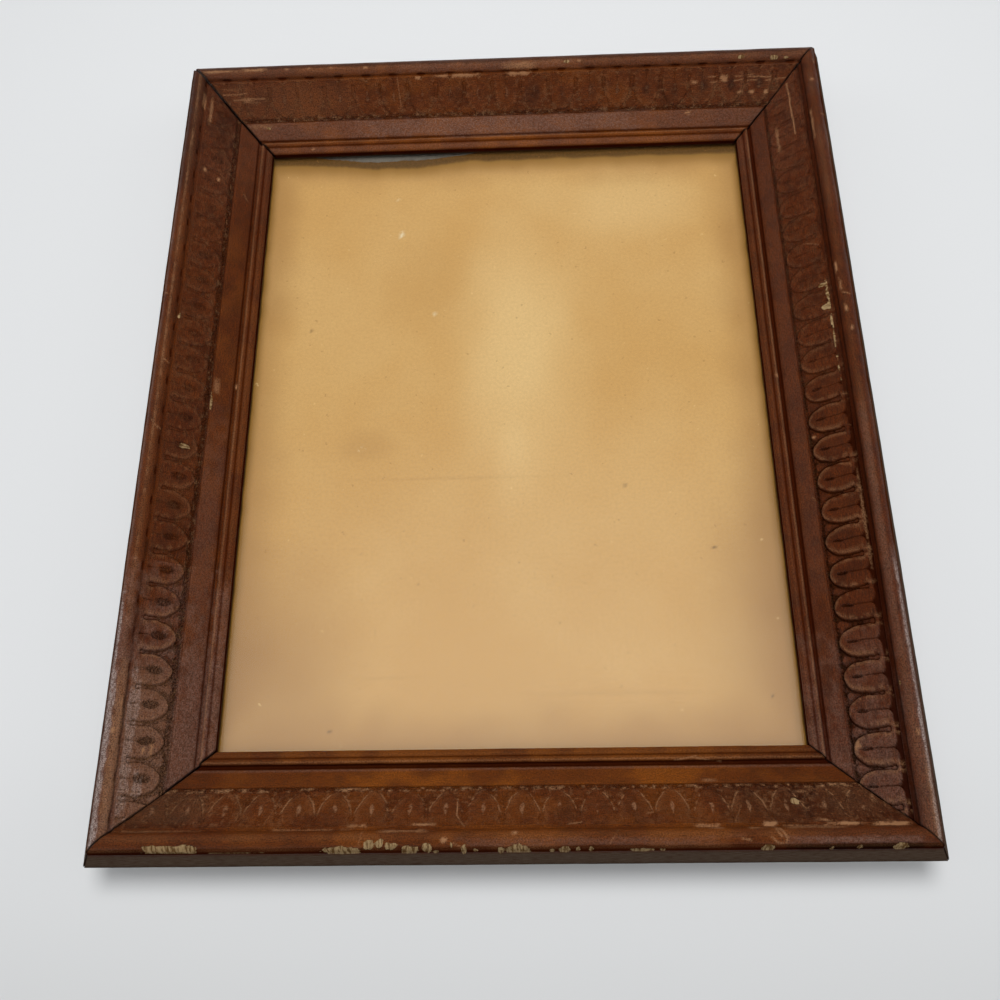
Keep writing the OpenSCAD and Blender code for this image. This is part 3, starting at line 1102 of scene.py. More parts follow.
@dataclass(frozen=True)
class Board(Finish):
    """Grey chipboard with flecks of other fibre."""

    tone: Triple = (0.14, 0.122, 0.10)
    deep: Triple = (0.09, 0.077, 0.062)
    pale: Triple = (0.19, 0.168, 0.138)

    def paint(self, g: Graph) -> None:
        """Paints the board: flecks of fibre mix the deep tone and the plain one, and patches pale them.

        Args:
            g: The material's nodes.
        """
        fleck = g.noise(g.coords(), 420.0, 4.0, 0.7)
        colour = g.mix(g.spread(fleck, 0.35, 0.65), self.deep, self.tone)
        colour = g.mix(g.spread(g.noise(g.coords(), 30.0), 0.35, 0.7, 0.0, 0.5), colour, self.pale)
        g.feed(Base_Color=colour, Roughness=0.9)
        g.bump(fleck, 0.00015, 0.6)


@dataclass(frozen=True)
class Steel(Finish):
    """Old bright wire or nail, dulled and lightly rusted."""

    bright: Triple = (0.50, 0.48, 0.45)
    rust: Triple = (0.16, 0.07, 0.03)
    share: float = 0.35

    def paint(self, g: Graph) -> None:
        """Paints the metal: rust in patches over it, rough where it lies.

        Args:
            g: The material's nodes.
        """
        patch = g.spread(g.noise(g.coords(), 700.0, 4.0, 0.65), 0.62 - self.share, 0.78 - self.share)
        g.feed(Base_Color=g.mix(patch, self.bright, self.rust), Metallic=g.math("SUBTRACT", 1.0, patch),
               Roughness=g.spread(patch, 0.0, 1.0, 0.32, 0.8))
        g.bump(g.noise(g.coords(), 2500.0, 2.0), 0.00005, 0.5)


@dataclass(frozen=True)
class PaneGlass(Finish):
    """Clear old window glass with a faint green cast, which lets lamp light through."""

    cast: Triple = (0.985, 1.0, 0.99)
    refraction: float = 1.5

    def paint(self, g: Graph) -> None:
        """Paints the pane: glass to the eye, and clear to the light that reaches the sheet.

        Args:
            g: The material's nodes.
        """
        g.feed(Base_Color=self.cast, Roughness=0.0, IOR=self.refraction, Transmission_Weight=1.0)
        rays = g.node("ShaderNodeLightPath", {}).outputs
        lets_through = g.math("MAXIMUM", rays["Is Shadow Ray"], rays["Is Diffuse Ray"])
        clear = g.node("ShaderNodeBsdfTransparent", {}).outputs[0]
        both = g.node("ShaderNodeMixShader", {0: lets_through, 1: g.shader.outputs[0], 2: clear})
        g.link(both.outputs[0], g.output.inputs["Surface"])
        g.bump(g.noise(g.coords(), 20.0, 2.0), 0.0001, 0.15)


@dataclass(frozen=True)
class PaleFloor(Finish):
    """Pale grey-white matt floor on which the frame lies, with painted shade that greys its near side.

    tone is its brightness behind the frame, front that at the near side, and front_y the two places, in
    metres, between which one passes into the other.
    """

    tone: float = 0.78
    front: float = 0.575
    front_y: Pair = (-0.30, -0.10)

    def paint(self, g: Graph) -> None:
        """Paints the floor, with painted shade that makes it a little greyer towards the front.

        Args:
            g: The material's nodes.
        """
        y = g.node("ShaderNodeSeparateXYZ", {0: g.coords()}).outputs["Y"]
        near = (self.front, self.front * 1.005, self.front)
        far = (self.tone, self.tone * 1.01, self.tone * 1.02)
        g.feed(Base_Color=g.mix(g.spread(y, *self.front_y), near, far), Roughness=0.6, Specular_IOR_Level=0.2)


# The glazing


@dataclass(frozen=True)
class Blot:
    """A patch on the sheet: its middle, half sizes, strength and which share it adds to."""

    x: float
    y: float
    half_x: float
    half_y: float
    share: str
    strength: float = 1.0

    def cover(self, x: Array, y: Array) -> Array:
        """How much of the patch lies on each point.

        Formula: a hill over the patch's ellipse, made uneven by noise.

        Args:
            x: Place across the sheet.
            y: Place up the sheet.

        Returns:
            The cover, from 0 to 1.
        """
        uneven = 0.175 * noise(x / (0.6 * self.half_x), y / (0.6 * self.half_y), 31, 2)
        away = np.hypot((x - self.x) / self.half_x, (y - self.y) / self.half_y)
        return self.strength * bump(away + uneven, 1.0)


@dataclass
class Glazing:
    """The pane and what the rabbet holds behind it.

    The tear's start, length and depth are those of the strip that is missing at the sheet's top edge, and
    lip is how far the frame's lip covers the sheet at the sides and at the top.
    """

    blots: tuple[Blot, ...]
    tear_start: float = 14.0
    tear_length: float = 84.0
    tear_depth: float = 7.0
    lip: Pair = (3.0, 4.0)
    columns: int = 260
    rows: int = 320

    def torn_edge(self, x: Array, left: float) -> Array:
        """How far the sheet's top edge is torn away.

        Formula: a half sine with its top flattened, roughened by noise, and nothing outside the torn
        stretch.

        Args:
            x: Place across the sheet.
            left: The sheet's left edge.

        Returns:
            The depth of the tear at x.
        """
        k = np.clip((x - left - self.tear_start) / self.tear_length, 0, 1)
        shape = np.sin(np.pi * k) ** 0.55 * (1 - 0.12 * k)
        rough = 1 + 0.10 * noise(x / 7, x * 0, 3, 3) + 0.03 * noise(x / 0.9, x * 0, 8, 2)
        return self.tear_depth * shape * rough * (k > 0) * (k < 1)

    def shares(self, x: Array, y: Array, low: Array, high: Array) -> dict[str, Array]:
        """Shares of the sheet's colours at each point.

        Formula: the edge share, of browning and painted shade, falls with the distance to the nearest edge,
        made ragged by noise; the share of painted shadow beside the lip falls with the distance to the lip's
        sides and to its top; the others are the strongest blot of their kind.

        Args:
            x: Place across the sheet.
            y: Place up the sheet.
            low: The sheet's lower left corner.
            high: Its upper right corner.

        Returns:
            The shares edge (browning and painted shade), painted shadow beside the lip, light (painted
            reflection), fleck, spot and stain, from 0 to 1.
        """
        side = np.minimum(x - low[0], high[0] - x) - self.lip[0]
        end = np.minimum(y - low[1], high[1] - y) - self.lip[1]
        drop = high[1] - y - np.maximum(self.torn_edge(x, low[0]), self.lip[1])
        # Edge browning, with painted shade from the rails
        ragged = np.minimum(side, end) + 4 * noise(x / 15, y / 15, 4, 2)
        wavy = noise(x / 6, y / 6, 14)
        # Painted shadow of the lip on the sheet, reaching further under the top
        clear = np.minimum(smooth(0.5, 5.0, side + 0.3 * wavy), smooth(2.0, 12.0, drop + 0.6 * wavy))
        shares = {"edge": 0.75 * (1 - smooth(0, 20, ragged)), "gutter": 1 - clear}
        shares.update({key: np.zeros(len(x)) for key in ("light", "fleck", "spot", "stain")})
        for blot in self.blots:
            shares[blot.share] = np.maximum(shares[blot.share], blot.cover(x, y))
        return shares

    def paper(self) -> bpy.types.Object:
        """Builds the aged sheet as a thin closed plate with a ragged top edge.

        Formula: a grid spans the sheet from its lower edge to its torn upper edge; its outline is
        repeated one thickness lower and closed.

        Returns:
            The sheet, with its shares.
        """
        low, high = (np.array(corner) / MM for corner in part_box("backing_paper"))
        x, k = np.meshgrid(np.linspace(low[0], high[0], self.columns), np.linspace(0, 1, self.rows))
        y = low[1] + k * (high[1] - self.torn_edge(x, low[0]) - low[1])
        face = np.stack([x, y, np.full(x.shape, high[2])], -1).reshape(-1, 3)
        number = np.arange(len(face)).reshape(self.rows, self.columns)
        outline = np.concatenate([number[0], number[1:, -1], number[-1, -2::-1], number[-2:0:-1, 0]])
        under = face[outline] * (1, 1, 0) + (0, 0, low[2])
        below = len(face) + np.arange(len(outline))
        walls = np.stack([outline, below, np.roll(below, -1), np.roll(outline, -1)], 1)
        points = np.concatenate([face, under])
        front = np.stack([number[:-1, :-1], number[:-1, 1:], number[1:, 1:], number[1:, :-1]], -1)
        faces = front.reshape(-1, 4).tolist() + walls.tolist() + [below[::-1].tolist()]
        made = make_mesh("aged_paper", points, faces, False)
        for key, values in self.shares(points[:, 0], points[:, 1], low, high).items():
            set_attribute(made, key, values)
        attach(made, "root")
        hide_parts("backing_paper")
        dress(made, AgedPaper().material("aged paper"))
        return made

    def build(self) -> bpy.types.Object:
        """Dresses the pane and the board behind it, and builds the sheet between them.

        Returns:
            The sheet.
        """
        dress(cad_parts["glass_pane"], PaneGlass().material("pane glass"))
        dress(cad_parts["backing_board"], Board().material("chipboard"))
        return self.paper()


# The fasteners


@dataclass(frozen=True)
class ScrewEye:
    """A screw eye bent from one wire: a pointed screw, a neck and a ring that ends at the neck.

    across is -1 on the left rail and 1 on the right one; edge and from_top place the foot; lean is the
    angle of the rail's sloping back; wire and ring are radii; neck and screw are lengths over and under
    the wood; edge_h and slope_u are the moulding's sizes that the slope runs between.
    """

    across: int
    edge: float = 9.0
    from_top: float = 105.0
    lean: float = 39.3
    wire: float = 0.78
    ring: float = 3.0
    neck: float = 0.8
    screw: float = 9.9
    pitch: float = 1.15
    thread: float = 0.34
    point: float = 2.4
    ring_turn: Pair = (-72.0, 246.0)
    edge_h: float = 18.0
    slope_u: float = 22.0
    sides: int = 20
    shank_rows: int = 150

    def path(self) -> Array:
        """Points along the wire, in the plane of its ring.

        Formula: the screw and the neck are straight, the ring is an arc that ends beside the neck, and
        a quadratic curve joins the two.

        Returns:
            The points, each as its place along the rail and its height over the wood.
        """
        middle = self.neck + self.wire + self.ring
        rise = np.linspace(-self.screw, self.neck - 0.3, self.shank_rows)
        straight = np.stack([np.zeros(self.shank_rows), rise], 1)
        loop = arc((0.0, middle), self.ring, *self.ring_turn, 90)
        k = np.linspace(0, 1, 12)[1:-1, None]
        corner = np.array([0.0, middle - self.ring])
        bend = straight[-1] * (1 - k) ** 2 + 2 * corner * k * (1 - k) + loop[0] * k ** 2
        return np.concatenate([straight, bend, loop])

    def build(self, width: float, height: float, steel: bpy.types.Material) -> bpy.types.Object:
        """Builds the wire in place.

        Formula: a circle is carried along the path. Below the wood its radius is a core with a
        triangular thread that climbs one pitch a turn, and both shrink towards the point.

        Args:
            width: The frame's width.
            height: The frame's height.
            steel: The wire's finish.

        Returns:
            The screw eye, which stands square to the rail's sloping back.
        """
        path = self.path()
        along = np.gradient(path, axis=0)
        along /= np.linalg.norm(along, axis=1)[:, None]
        angle = np.linspace(0, 2 * np.pi, self.sides, endpoint=False)
        number = np.arange(len(path))[:, None]
        depth = np.where(number < self.shank_rows, -path[:, 1:], -1.0)
        climb = (depth / self.pitch + angle / (2 * np.pi)) % 1.0
        bite = smooth(0.4, 1.2, depth) * np.clip(np.abs(climb - 0.5) * 3.2, 0, 1)
        taper = np.clip((self.screw - depth) / self.point, 0.08, 1)
        taper = taper * np.minimum(1.0, 0.35 + 0.4 * number[::-1])
        radius = self.wire * (1 - self.thread * bite) * taper
        side, out = radius * np.cos(angle), radius * np.sin(angle)
        y = path[:, :1] - out * along[:, 1:]
        z = path[:, 1:] + out * along[:, :1]
        tilt = np.radians(self.across * (180 - self.lean))
        x, z = side * np.cos(tilt) + z * np.sin(tilt), -side * np.sin(tilt) + z * np.cos(tilt)
        foot = (self.across * (width / 2 - self.edge), height / 2 - self.from_top,
                self.edge_h * (1 - self.edge / self.slope_u))
        points = (np.stack([x, y, z], -1) + foot).reshape(-1, 3)
        ring = np.arange(len(points)).reshape(len(path), self.sides)
        turned = np.roll(ring, -1, 1)
        quads = np.stack([ring[:-1], turned[:-1], turned[1:], ring[1:]], -1)
        faces = quads.reshape(-1, 4).tolist() + [ring[0][::-1].tolist(), ring[-1].tolist()]
        where = "left" if self.across < 0 else "right"
        made = make_mesh(f"{where}_eye_wire", points, faces)
        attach(made, "root")
        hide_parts(f"{where}_screw_eye")
        dress(made, steel)
        return made


# The studio


@dataclass(frozen=True)
class Studio:
    """Camera, lamp, surroundings and floor. Lengths are in metres, angles in degrees.

    A band holds the two values between which a smooth step of the room's light rises.
    """

    place: Triple = (0.0086, -0.1577, 0.3291)
    focal_px: float = 952.8
    picture_px: float = 1000.0
    pitch: float = -20.953
    roll: float = -1.97
    turn: float = 0.465
    sensor: float = 36.0
    clip: Pair = (0.01, 20.0)
    lamp_at: Triple = (0.02, 0.16, 1.06)
    lamp_size: float = 0.50
    lamp_power: float = 6.6
    ceiling: Triple = (0.0, -0.22, 0.975)
    ceiling_band: Pair = (0.72, 0.985)
    ceiling_level: float = 1.15
    side_band: Pair = (0.60, 0.88)
    side_level: float = 0.80
    ahead_band: Pair = (0.45, 0.12)
    height_band: Pair = (0.0, 0.25)
    wall_level: float = 0.12
    cast: Triple = (0.975, 0.99, 1.0)
    floor_half: float = 3.0

    def camera(self) -> None:
        """Places the camera.

        Formula: a point's place before the lens is Rz(turn) Rx(pitch) Ry(roll) times its offset from
        the camera, so the camera's own rotation is the inverse of that product.
        """
        turns = [Matrix.Rotation(np.radians(angle), 3, axis)
                 for angle, axis in ((self.turn, "Z"), (self.pitch, "X"), (self.roll, "Y"))]
        rotation = (turns[0] @ turns[1] @ turns[2]).transposed()
        data = bpy.data.cameras.new("camera")
        data.sensor_width = self.sensor
        data.lens = self.sensor * self.focal_px / self.picture_px
        data.clip_start, data.clip_end = self.clip
        camera = bpy.data.objects.new("camera", data)
        camera.matrix_world = Matrix.Translation(self.place) @ rotation.to_4x4()
        bpy.context.scene.collection.objects.link(camera)
        bpy.context.scene.camera = camera

    def lamp(self) -> None:
        """Hangs one large soft lamp over the far side of the frame, aimed at the frame."""
        data = bpy.data.lights.new("overhead lamp", "AREA")
        data.shape = "DISK"
        data.size = self.lamp_size
        data.energy = self.lamp_power
        made = bpy.data.objects.new("overhead lamp", data)
        made.visible_glossy = False
        made.visible_transmission = False
        place = Matrix.Translation(self.lamp_at)
        aim = (-place.to_translation()).to_track_quat("-Z", "Y").to_matrix()
        made.matrix_world = place @ aim.to_4x4()
        bpy.context.scene.collection.objects.link(made)

    def surroundings(self) -> None:
        """Sets the room's light: a bright ceiling, dim walls, and a paler band out to both sides.

        Formula: the level is a floor value, plus a smooth step of the dot product with the ceiling's
        middle, plus a smooth step of how far a direction points sideways, faded towards the front and
        back and towards the floor.
        """
        world = bpy.data.worlds.new("surround")
        world.use_nodes = True
        g = Nodes(world.node_tree)
        towards = g.node("ShaderNodeTexCoord", {}).outputs["Generated"]
        x, y, z = g.node("ShaderNodeSeparateXYZ", {0: towards}).outputs
        lean = g.node("ShaderNodeVectorMath", {0: towards, 1: self.ceiling}, operation="DOT_PRODUCT")
        ceiling = g.spread(lean.outputs["Value"], *self.ceiling_band, 0.0, self.ceiling_level)
        sideways = g.spread(g.math("ABSOLUTE", x), *self.side_band, 0.0, self.side_level)
        ahead = g.math("ABSOLUTE", g.math("SUBTRACT", y, 0.05))
        sideways = g.times(sideways, g.spread(ahead, *self.ahead_band))
        sideways = g.times(sideways, g.spread(z, *self.height_band))
        level = g.math("ADD", g.math("ADD", ceiling, sideways), self.wall_level)
        shade = world.node_tree.nodes["Background"]
        g.link(self.cast, shade.inputs["Color"])
        g.link(level, shade.inputs["Strength"])
        bpy.context.scene.world = world

    def floor(self) -> None:
        """Lays the pale floor on which the frame rests."""
        corners = np.array([(-1, -1, 0), (1, -1, 0), (1, 1, 0), (-1, 1, 0)]) * self.floor_half / MM
        made = make_mesh("floor", corners, [(0, 1, 2, 3)], False)
        dress(made, PaleFloor().material("pale floor"))
        made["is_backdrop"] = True

    def build(self) -> None:
        """Sets up everything that isn't part of the frame."""
        bpy.context.scene.view_settings.view_transform = "Standard"
        self.camera()
        self.lamp()
        self.surroundings()
        self.floor()


# Wear and painted sheen of the four rails, and marks, painted reflection and painted shadow of the sheet


def marks(kinds: dict[Wear, tuple[tuple[float, ...], ...]]) -> tuple[Mark, ...]:
    """Marks by their kinds, each from its s0, t0, s1, t1 and, where they differ, strength and width."""
    return tuple(Mark(wear, *row) for wear, rows in kinds.items() for row in rows)


BOTTOM_MARKS = marks({
    Wear.BLOOM: (
        (-12, 11.6, 62, 13.8, 0.4, 0.5), (-128, 41.8, 128, 42.6, 0.6, 0.3), (86, 11, 120, 13.4, 0.8, 0.5)),
    Wear.STAIN: (
        # The stains on the rim's outer shoulder, t 8 to 11.3, are dirt and painted shade
        (66, 19, 122, 35, 0.4, 3.0), (-134, 19, -96, 35, 0.42, 3.0), (84, 8.0, 128, 11.3, 0.85, 0.5),
        (-128, 8, -100, 11, 0.4, 0.6), (-132, 43, 132, 50.5, 0.2, 1.0)),
    Wear.CHIP: (
        (-110, 8.6, -94.5, 12.2), (-92, 8.2, -72, 9.4, 0.5), (-55, 7.2, -45, 11.4),
        (-43.6, 10.4, -40.4, 13.8), (-40, 10.8, -37.4, 13.8), (-37.6, 10.2, -33.8, 12.9),
        (-32.2, 7, -27.4, 11.8), (-25.8, 8, -23, 12.3), (-22.8, 7.2, -21, 9.8),
        (-17.6, 11, -16.8, 12.6, 0.8), (-14.2, 7.2, -12.8, 11.5), (-10.6, 7.8, -9, 10.6, 0.8),
        (-3.2, 7, -1.6, 10.6, 0.8), (-0.8, 7, 6.6, 11.7), (12, 7.6, 13.8, 10, 0.8), (15, 7, 18.3, 11),
        (20, 8.2, 21.2, 10.6, 0.8), (24, 8.2, 25.2, 10.6, 0.8), (36, 7.9, 42, 9.8), (45, 7.8, 46.6, 10),
        (75, 7.8, 78.5, 11), (95, 8.2, 96.4, 10.4, 0.8), (103, 8.2, 104.4, 10.4, 0.8),
        (113.5, 7.8, 117.5, 11), (86.5, 26, 89.5, 28.8, 0.7), (126, 12, 129.5, 16, 0.8)),
    Wear.RUB: (
        # The first four rubs are painted sheen on the rim's inner flank
        (-38, 16.4, -26, 17.9, 0.9), (60, 16.6, 64, 17.8, 0.8), (72, 16.6, 75, 17.8, 0.8),
        (84, 16.6, 100, 17.8, 0.7), (57, 17.9, 62, 18.8), (76.5, 18.2, 80, 19.6), (97, 18.3, 107, 19.3),
        (93, 19.8, 95.5, 20.6), (109, 18.0, 119, 19.1), (-48, 19, -44, 19.8), (-30, 19.4, -24, 20.2),
        (61, 36, 64, 36.7, 0.8), (1, 14.8, 3, 16.6), (-20.3, 12.6, -18.6, 14.2),
        (-128, 21, -92, 34, 0.14, 1.5), (96, 24, 116, 34, 0.12, 1.5), (84, 17.4, 97, 18.4, 0.7, 0.3),
        (100, 33.4, 102.5, 34.2, 0.8, 0.3), (88, 31, 92, 31.8, 0.6, 0.3),
        (-120, 17.6, -96, 18.4, 0.5, 0.4), (-70, 17.8, -50, 18.5, 0.5, 0.3)),
    Wear.SCRATCH: (
        (77.6, 13.6, 80, 11.4, 0.9, 0.5), (80, 11.4, 80.8, 11.6, 0.9, 0.5),
        (81.8, 11.4, 82.2, 13.4, 1.0, 0.5), (82.2, 13.4, 80.6, 16.4, 1.0, 0.6),
        (80.6, 13.6, 79.4, 16.2, 1.0, 0.5), (80.4, 16, 77.6, 19.6, 0.9, 0.5), (-13.5, 19, -16, 23.5),
        (-16, 23.5, -16, 29), (18, 19.3, 22, 20.3), (53, 45.4, 60, 46.6), (60, 46, 68, 44.4),
        (42, 23.6, 44, 24.2, 0.8), (-45, 11.5, -44, 17, 0.6), (30, 12, 33, 17, 0.6),
        (-16.5, 12.6, -14, 11.4), (69, 13.4, 71.6, 12.8, 0.8, 0.5), (68, 20, 71, 26, 0.5),
        (-75, 20, -72, 31, 0.5))})
RIGHT_MARKS = marks({
    Wear.BLOOM: (
        (-175, 17, -106, 54, 0.62, 3.0), (-100, 13.8, -10, 16.6, 0.4, 0.5),
        (-175, 11, -90, 17, 0.35, 1.0), (-176, 9.4, -62, 13.0, 1.0, 0.6), (-80, 36, 140, 42, 0.18, 1.0)),
    Wear.CHIP: (
        (3, 21.1, 18, 21.6, 0.55, 0.3), (18, 21, 31, 21.7, 0.62, 0.3), (31, 21, 44, 21.9, 0.85, 0.5),
        (32, 21.6, 34, 24, 0.9), (42, 21.6, 43.3, 24, 0.9), (-106, 16.6, -104.5, 17.6)),
    Wear.RUB: (
        (-65.5, 20.3, -33, 20.9, 0.62, 0.25), (109, 16.2, 120, 17.2, 0.9), (46, 15.8, 50, 16.8),
        (28, 14.4, 31, 15.6), (38, 15.1, 42, 16.2), (135, 13.5, 136.4, 14.6),
        (-150, 11.5, -128, 13.2, 0.5, 0.9), (110, 31, 120, 32, 0.7), (-16.8, 32.8, -15.4, 34.2),
        (-124.5, 32.2, -121.5, 34.2, 0.9), (10, 45.4, 12, 46.6), (-122, 13.2, -120, 14.2),
        (20, 13.4, 22, 14.6)),
    Wear.SCRATCH: (
        (114, 24.4, 140, 24.9, 1.0, 0.5), (123, 24.7, 139, 24.9), (35, 12.6, 36, 15.4),
        (144, 12, 146, 12.4), (118, 10, 118, 12.4), (-40, 35.8, -38, 37.5, 0.6), (60, 22, 63, 27, 0.6))})
TOP_MARKS = marks({
    Wear.BLOOM: (
        (-130, 34.9, 135, 42.6, 0.5, 0.5), (-60, 34.9, 66, 42.6, 0.84, 1.1),
        (-140, 11.5, 140, 17.2, 0.3, 0.6), (-32, 12, 45, 17.2, 0.5, 0.5),
        (-28, 42.8, 22, 45.0, 0.75, 0.4), (-105, 47.8, 105, 50, 0.35, 0.4)),
    Wear.STAIN: (
        (-140, 11, 145, 14.0, 0.5, 0.4), (-108, 23.5, -104, 27.6, 0.4, 0.8),
        (-96.2, 23.5, -92.8, 27.4, 0.45, 0.8), (-84.8, 23.8, -81.4, 27.6, 0.35, 0.8),
        (-72.8, 24.8, -69.6, 30, 0.35, 0.8), (-61.4, 24.8, -58.4, 28.4, 0.35, 0.8),
        (-16, 23, -9.5, 31.5, 0.4, 1.2)),
    Wear.CHIP: (
        (-112.5, 15.2, -109.6, 16.8), (-99, 14.8, -97, 16.2), (-117, 15.8, -115, 16.8, 0.8),
        (97.5, 36.7, 99.2, 38.0, 0.9), (-28, 14.2, -26, 15.4, 0.7)),
    Wear.RUB: (
        (-93.2, 22.4, -89.6, 24.8, 0.9), (-80.4, 23.9, -77.6, 25.2), (-109.6, 28.2, -107.9, 29.9),
        # The rubs from (-33, 14) to (21.5, 18.2) are painted sheen on the rim and painted highlights on the
        # scalloped edge
        (-104, 28.3, -101.6, 29.4), (-99, 28.3, -97, 29.3), (-33, 14, -31, 15.4),
        (-13, 14.4, -2, 17.2, 0.8, 0.9), (-12, 18.2, -3, 20, 0.9), (10, 18.2, 20, 19.8, 0.9),
        (21.5, 18.2, 27, 19.6, 0.9), (33.5, 19, 35.5, 20), (55, 14, 57, 15), (69, 13.5, 71, 14.6),
        (78.5, 13.5, 80.5, 14.6), (87.5, 13.5, 89.5, 14.6), (98, 13.2, 107, 14.6, 0.9),
        (109, 13.5, 122, 14.6, 0.9), (-77.8, 36, -76, 37.2), (79, 48.2, 80.4, 49.2),
        (60, 20, 122, 33, 0.1, 1.6), (97, 35.6, 105, 37.2, 0.6, 0.6), (104, 24.9, 108, 26.2, 0.8, 0.5)),
    Wear.SCRATCH: (
        (43, 19, 42, 30, 0.6), (-116.5, 24, -112, 24.4, 0.9, 0.3), (-110.5, 23.6, -106, 23.1, 1.0, 0.35),
        (-110.5, 24.6, -108.5, 24.7), (-105.5, 23.1, -101, 23.4), (-105, 24.4, -101, 24.8, 0.9),
        (-99, 24.3, -95.5, 24.5), (-99, 23.2, -96, 22.9, 0.8), (-88.5, 24.7, -86, 24.9, 0.9),
        (-88, 22.8, -85, 22.9, 0.9), (-103, 22.5, -101, 22.5, 0.7), (99, 25.2, 112, 25.5, 0.9, 0.45),
        (106, 23.2, 116, 23.5, 0.8, 0.4), (101, 26.8, 108, 26.5, 0.6), (108, 21.6, 116, 21.4, 0.5))})
LEFT_MARKS = marks({
    Wear.BLOOM: (
        (80, 13, 185, 54, 0.78, 3.0), (92, 18.3, 150, 22.6, 0.92, 0.6), (10, 34, 100, 42, 0.3, 1.5),
        (-160, 9, 70, 12.0, 0.6, 0.5), (66, 7.6, 185, 13.0, 1.0, 0.5), (92, 10, 185, 14.2, 0.95, 0.7),
        (127, 23, 139, 26.4, 0.93, 0.3)),
    Wear.STAIN: (
        (98, 17.1, 116, 17.9, 0.7, 0.3), (116, 17.3, 150, 17.9, 0.5, 0.3), (-175, 7, -92, 17, 0.45, 3.0),
        (-150, 24, -112, 33, 0.3, 3.0)),
    Wear.CHIP: (
        (-36, 18.4, -34, 19.3), (-7, 33.8, -1, 34.8, 0.9), (15.2, 24, 17.2, 28.8, 0.5)),
    Wear.RUB: (
        (95, 18, 150, 33, 0.24, 1.5), (96, 14.4, 152, 17.4, 0.5, 0.7), (-140, 20.4, -128, 21.6, 0.8),
        (-140, 16.8, -133, 18.6, 0.8), (-103, 26.6, -101, 28), (-105, 21, -103, 22),
        (-13, 35, -8, 37, 0.6), (116, 13.8, 118, 15.2), (121.3, 24.6, 124.2, 25.8, 0.95),
        (120.6, 27.0, 124.6, 28.2, 0.85), (-13.5, 43.8, -11.5, 45.2), (103, 15.9, 116, 16.6, 0.9, 0.3),
        (-150, 14.1, 66, 14.7, 0.55, 0.3), (125, 13.8, 140, 15.4, 0.5, 0.6)),
    Wear.SCRATCH: (
        (-43.5, 10.4, -43.2, 13), (-15.4, 15, -14.6, 17.2), (10.6, 14.6, 12, 17.4),
        (9, 13.4, 12, 16, 0.8), (-100, 38, -97, 40, 0.7), (131, 14, 134, 16.6, 0.8),
        (113, 13.6, 117.5, 15.8), (100, 14.2, 111, 14.6, 0.7), (119, 15.6, 127, 14.2, 0.8),
        (135, 15.4, 142, 14.2, 0.9), (104, 15.2, 112, 15.4, 0.7), (126, 15.8, 134, 15.2, 0.7),
        (138, 14.2, 141, 16, 0.8))})


def rails() -> list[Rail]:
    """The four rails with their own borders, crispness, wear and end cuts.

    Returns:
        The rails, in the order in which they are built.
    """
    low = Moulding(plain_at=(22.75, 16.15), carve_t=33.6)
    middle = Moulding(plain_at=(23.5, 15.55), carve_t=34.6)
    tall = Moulding(plain_at=(24.2, 15.0), carve_t=35.5)
    return [
        Rail(Side.BOTTOM, Border(3.9, 11.567, 15.3, 1.2, shoulder=9.6, power=1.5),
             crisp=((-130, 0.16), (-92, 0.2), (-76, 0.25), (88, 0.25), (112, 0.18)),
             marks=BOTTOM_MARKS, cut=((0.1, 0.35), (0.05, 0.1)), moulding=middle,
             groove=0.15, pocket=1.0, dirt=0.05, faded=1.0, warmth=0.92, seed=1),
        Rail(Side.RIGHT, Border(-136.0, 11.457, 14.5, 0.7, (5.3, 0.6, 2.2), 99, 7.2, 2.0),
             crisp=((-150, 1.0), (-15, 0.8), (20, 0.24), (60, 0.14), (150, 0.1)),
             marks=RIGHT_MARKS, cut=((0.05, 0.1), (0.0, 0.3)), moulding=tall,
             groove=1.0, pocket=0.85, dirt=0.8, faded=0.0, warmth=0.12, seed=2),
        Rail(Side.TOP, Border(-106.0, 11.58, 15.9, 1.5, (8.4, 1.0, 2.4), 16.7),
             crisp=((-130, 0.34), (-60, 0.3), (-30, 0.23), (60, 0.23), (130, 0.34)),
             marks=TOP_MARKS, cut=((0.1, 0.3), (0.6, 0.4)), moulding=middle,
             groove=0.1, pocket=0.1, dirt=0.35, faded=0.32, warmth=0.85, seed=3),
        Rail(Side.LEFT, Border(4.5, 11.545, 15.3, 1.9, (7.9, 1.7, 3.2), 16.0, 8.0, 1.75),
             crisp=((-150, 0.05), (0, 0.25), (60, 0.5), (95, 0.9), (150, 0.9)),
             marks=LEFT_MARKS, cut=((0.5, 0.35), (0.1, 0.35)), moulding=low,
             groove=0.1, pocket=0.15, dirt=0.45, faded=0.1, warmth=0.3, seed=4)]


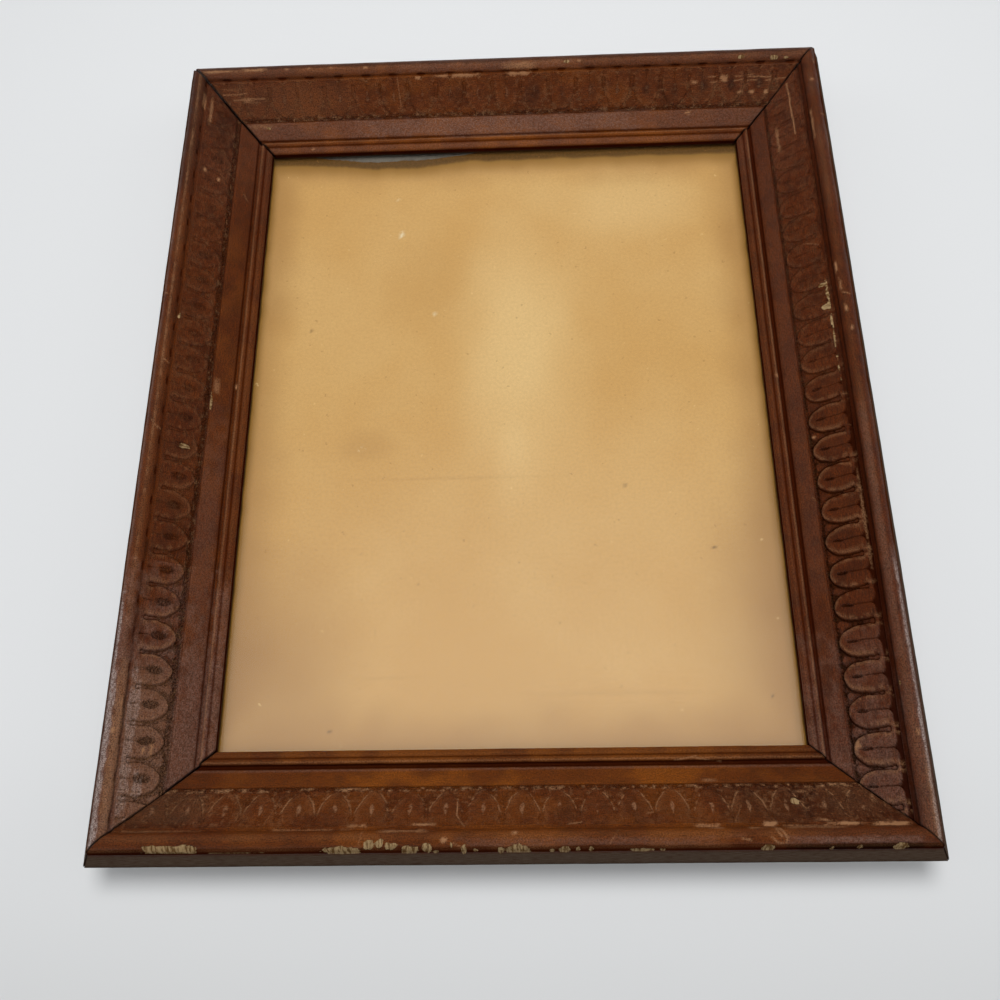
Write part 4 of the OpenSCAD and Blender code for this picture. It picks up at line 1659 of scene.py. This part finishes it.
SHEET_BLOTS = (
    Blot(-95, -95, 60, 60, "stain", 1.0), Blot(100, -85, 45, 90, "stain", 1.0),
    # The light blots are painted reflection of the room in the glass, down the middle and at the upper right
    Blot(0, -125, 110, 34, "stain", 0.22), Blot(5, 30, 34, 70, "light", 0.8),
    Blot(3, -5, 16, 40, "light", 0.6), Blot(50, 95, 50, 26, "light", 0.5),
    Blot(-30, 60, 26, 34, "stain", 0.15), Blot(-52, -12, 16, 10, "stain", 0.3),
    # The blot at (-100, -106) widens the painted shadow beside the lip at the lower left
    Blot(-87, -114, 12, 8, "stain", 0.7), Blot(-100, -106, 10, 28, "gutter", 0.5),
    Blot(-41.7, 82.3, 1.6, 3.2, "fleck"), Blot(-44.4, 100.3, 2.0, 1.2, "fleck", 0.8),
    Blot(-27.6, 44.9, 1.3, 1.3, "fleck", 0.8), Blot(-54, -12.6, 1.8, 1.5, "fleck"),
    Blot(-76, 38.7, 0.9, 0.9, "spot"), Blot(43, -29.3, 1.0, 0.9, "spot", 0.7),
    Blot(73.1, -53.6, 1.2, 0.8, "spot"), Blot(87.8, -105.7, 0.8, 0.8, "spot"),
    Blot(-60.2, -115.7, 0.9, 0.9, "spot"), Blot(-20, -25, 62, 0.9, "stain", 0.27),
    Blot(30, -104, 70, 1.6, "stain", 0.3), Blot(-50, -98, 40, 1.2, "stain", 0.25))


def main() -> None:
    """Builds the frame's looks in order."""
    logging.basicConfig(level=logging.INFO, format="%(message)s")
    cad_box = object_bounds()
    Studio().build()
    low, high = cad_box
    width, height = (high.x - low.x) / MM, (high.y - low.y) / MM
    wood, steel = StainedWood().material("stained wood"), Steel().material("old steel")
    pieces = [rail.build(width, height, wood) for rail in rails()]
    pieces.append(Glazing(SHEET_BLOTS).build())
    pieces += [ScrewEye(side).build(width, height, steel) for side in (-1, 1)]
    for name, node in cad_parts.items():
        if name.startswith(("brads", "corner_nails")):
            dress(node, steel)
            pieces.append(node)
    for made in pieces:
        log.info("%s: %d faces", made.name, len(made.data.polygons))


if __name__ == "__main__":
    main()
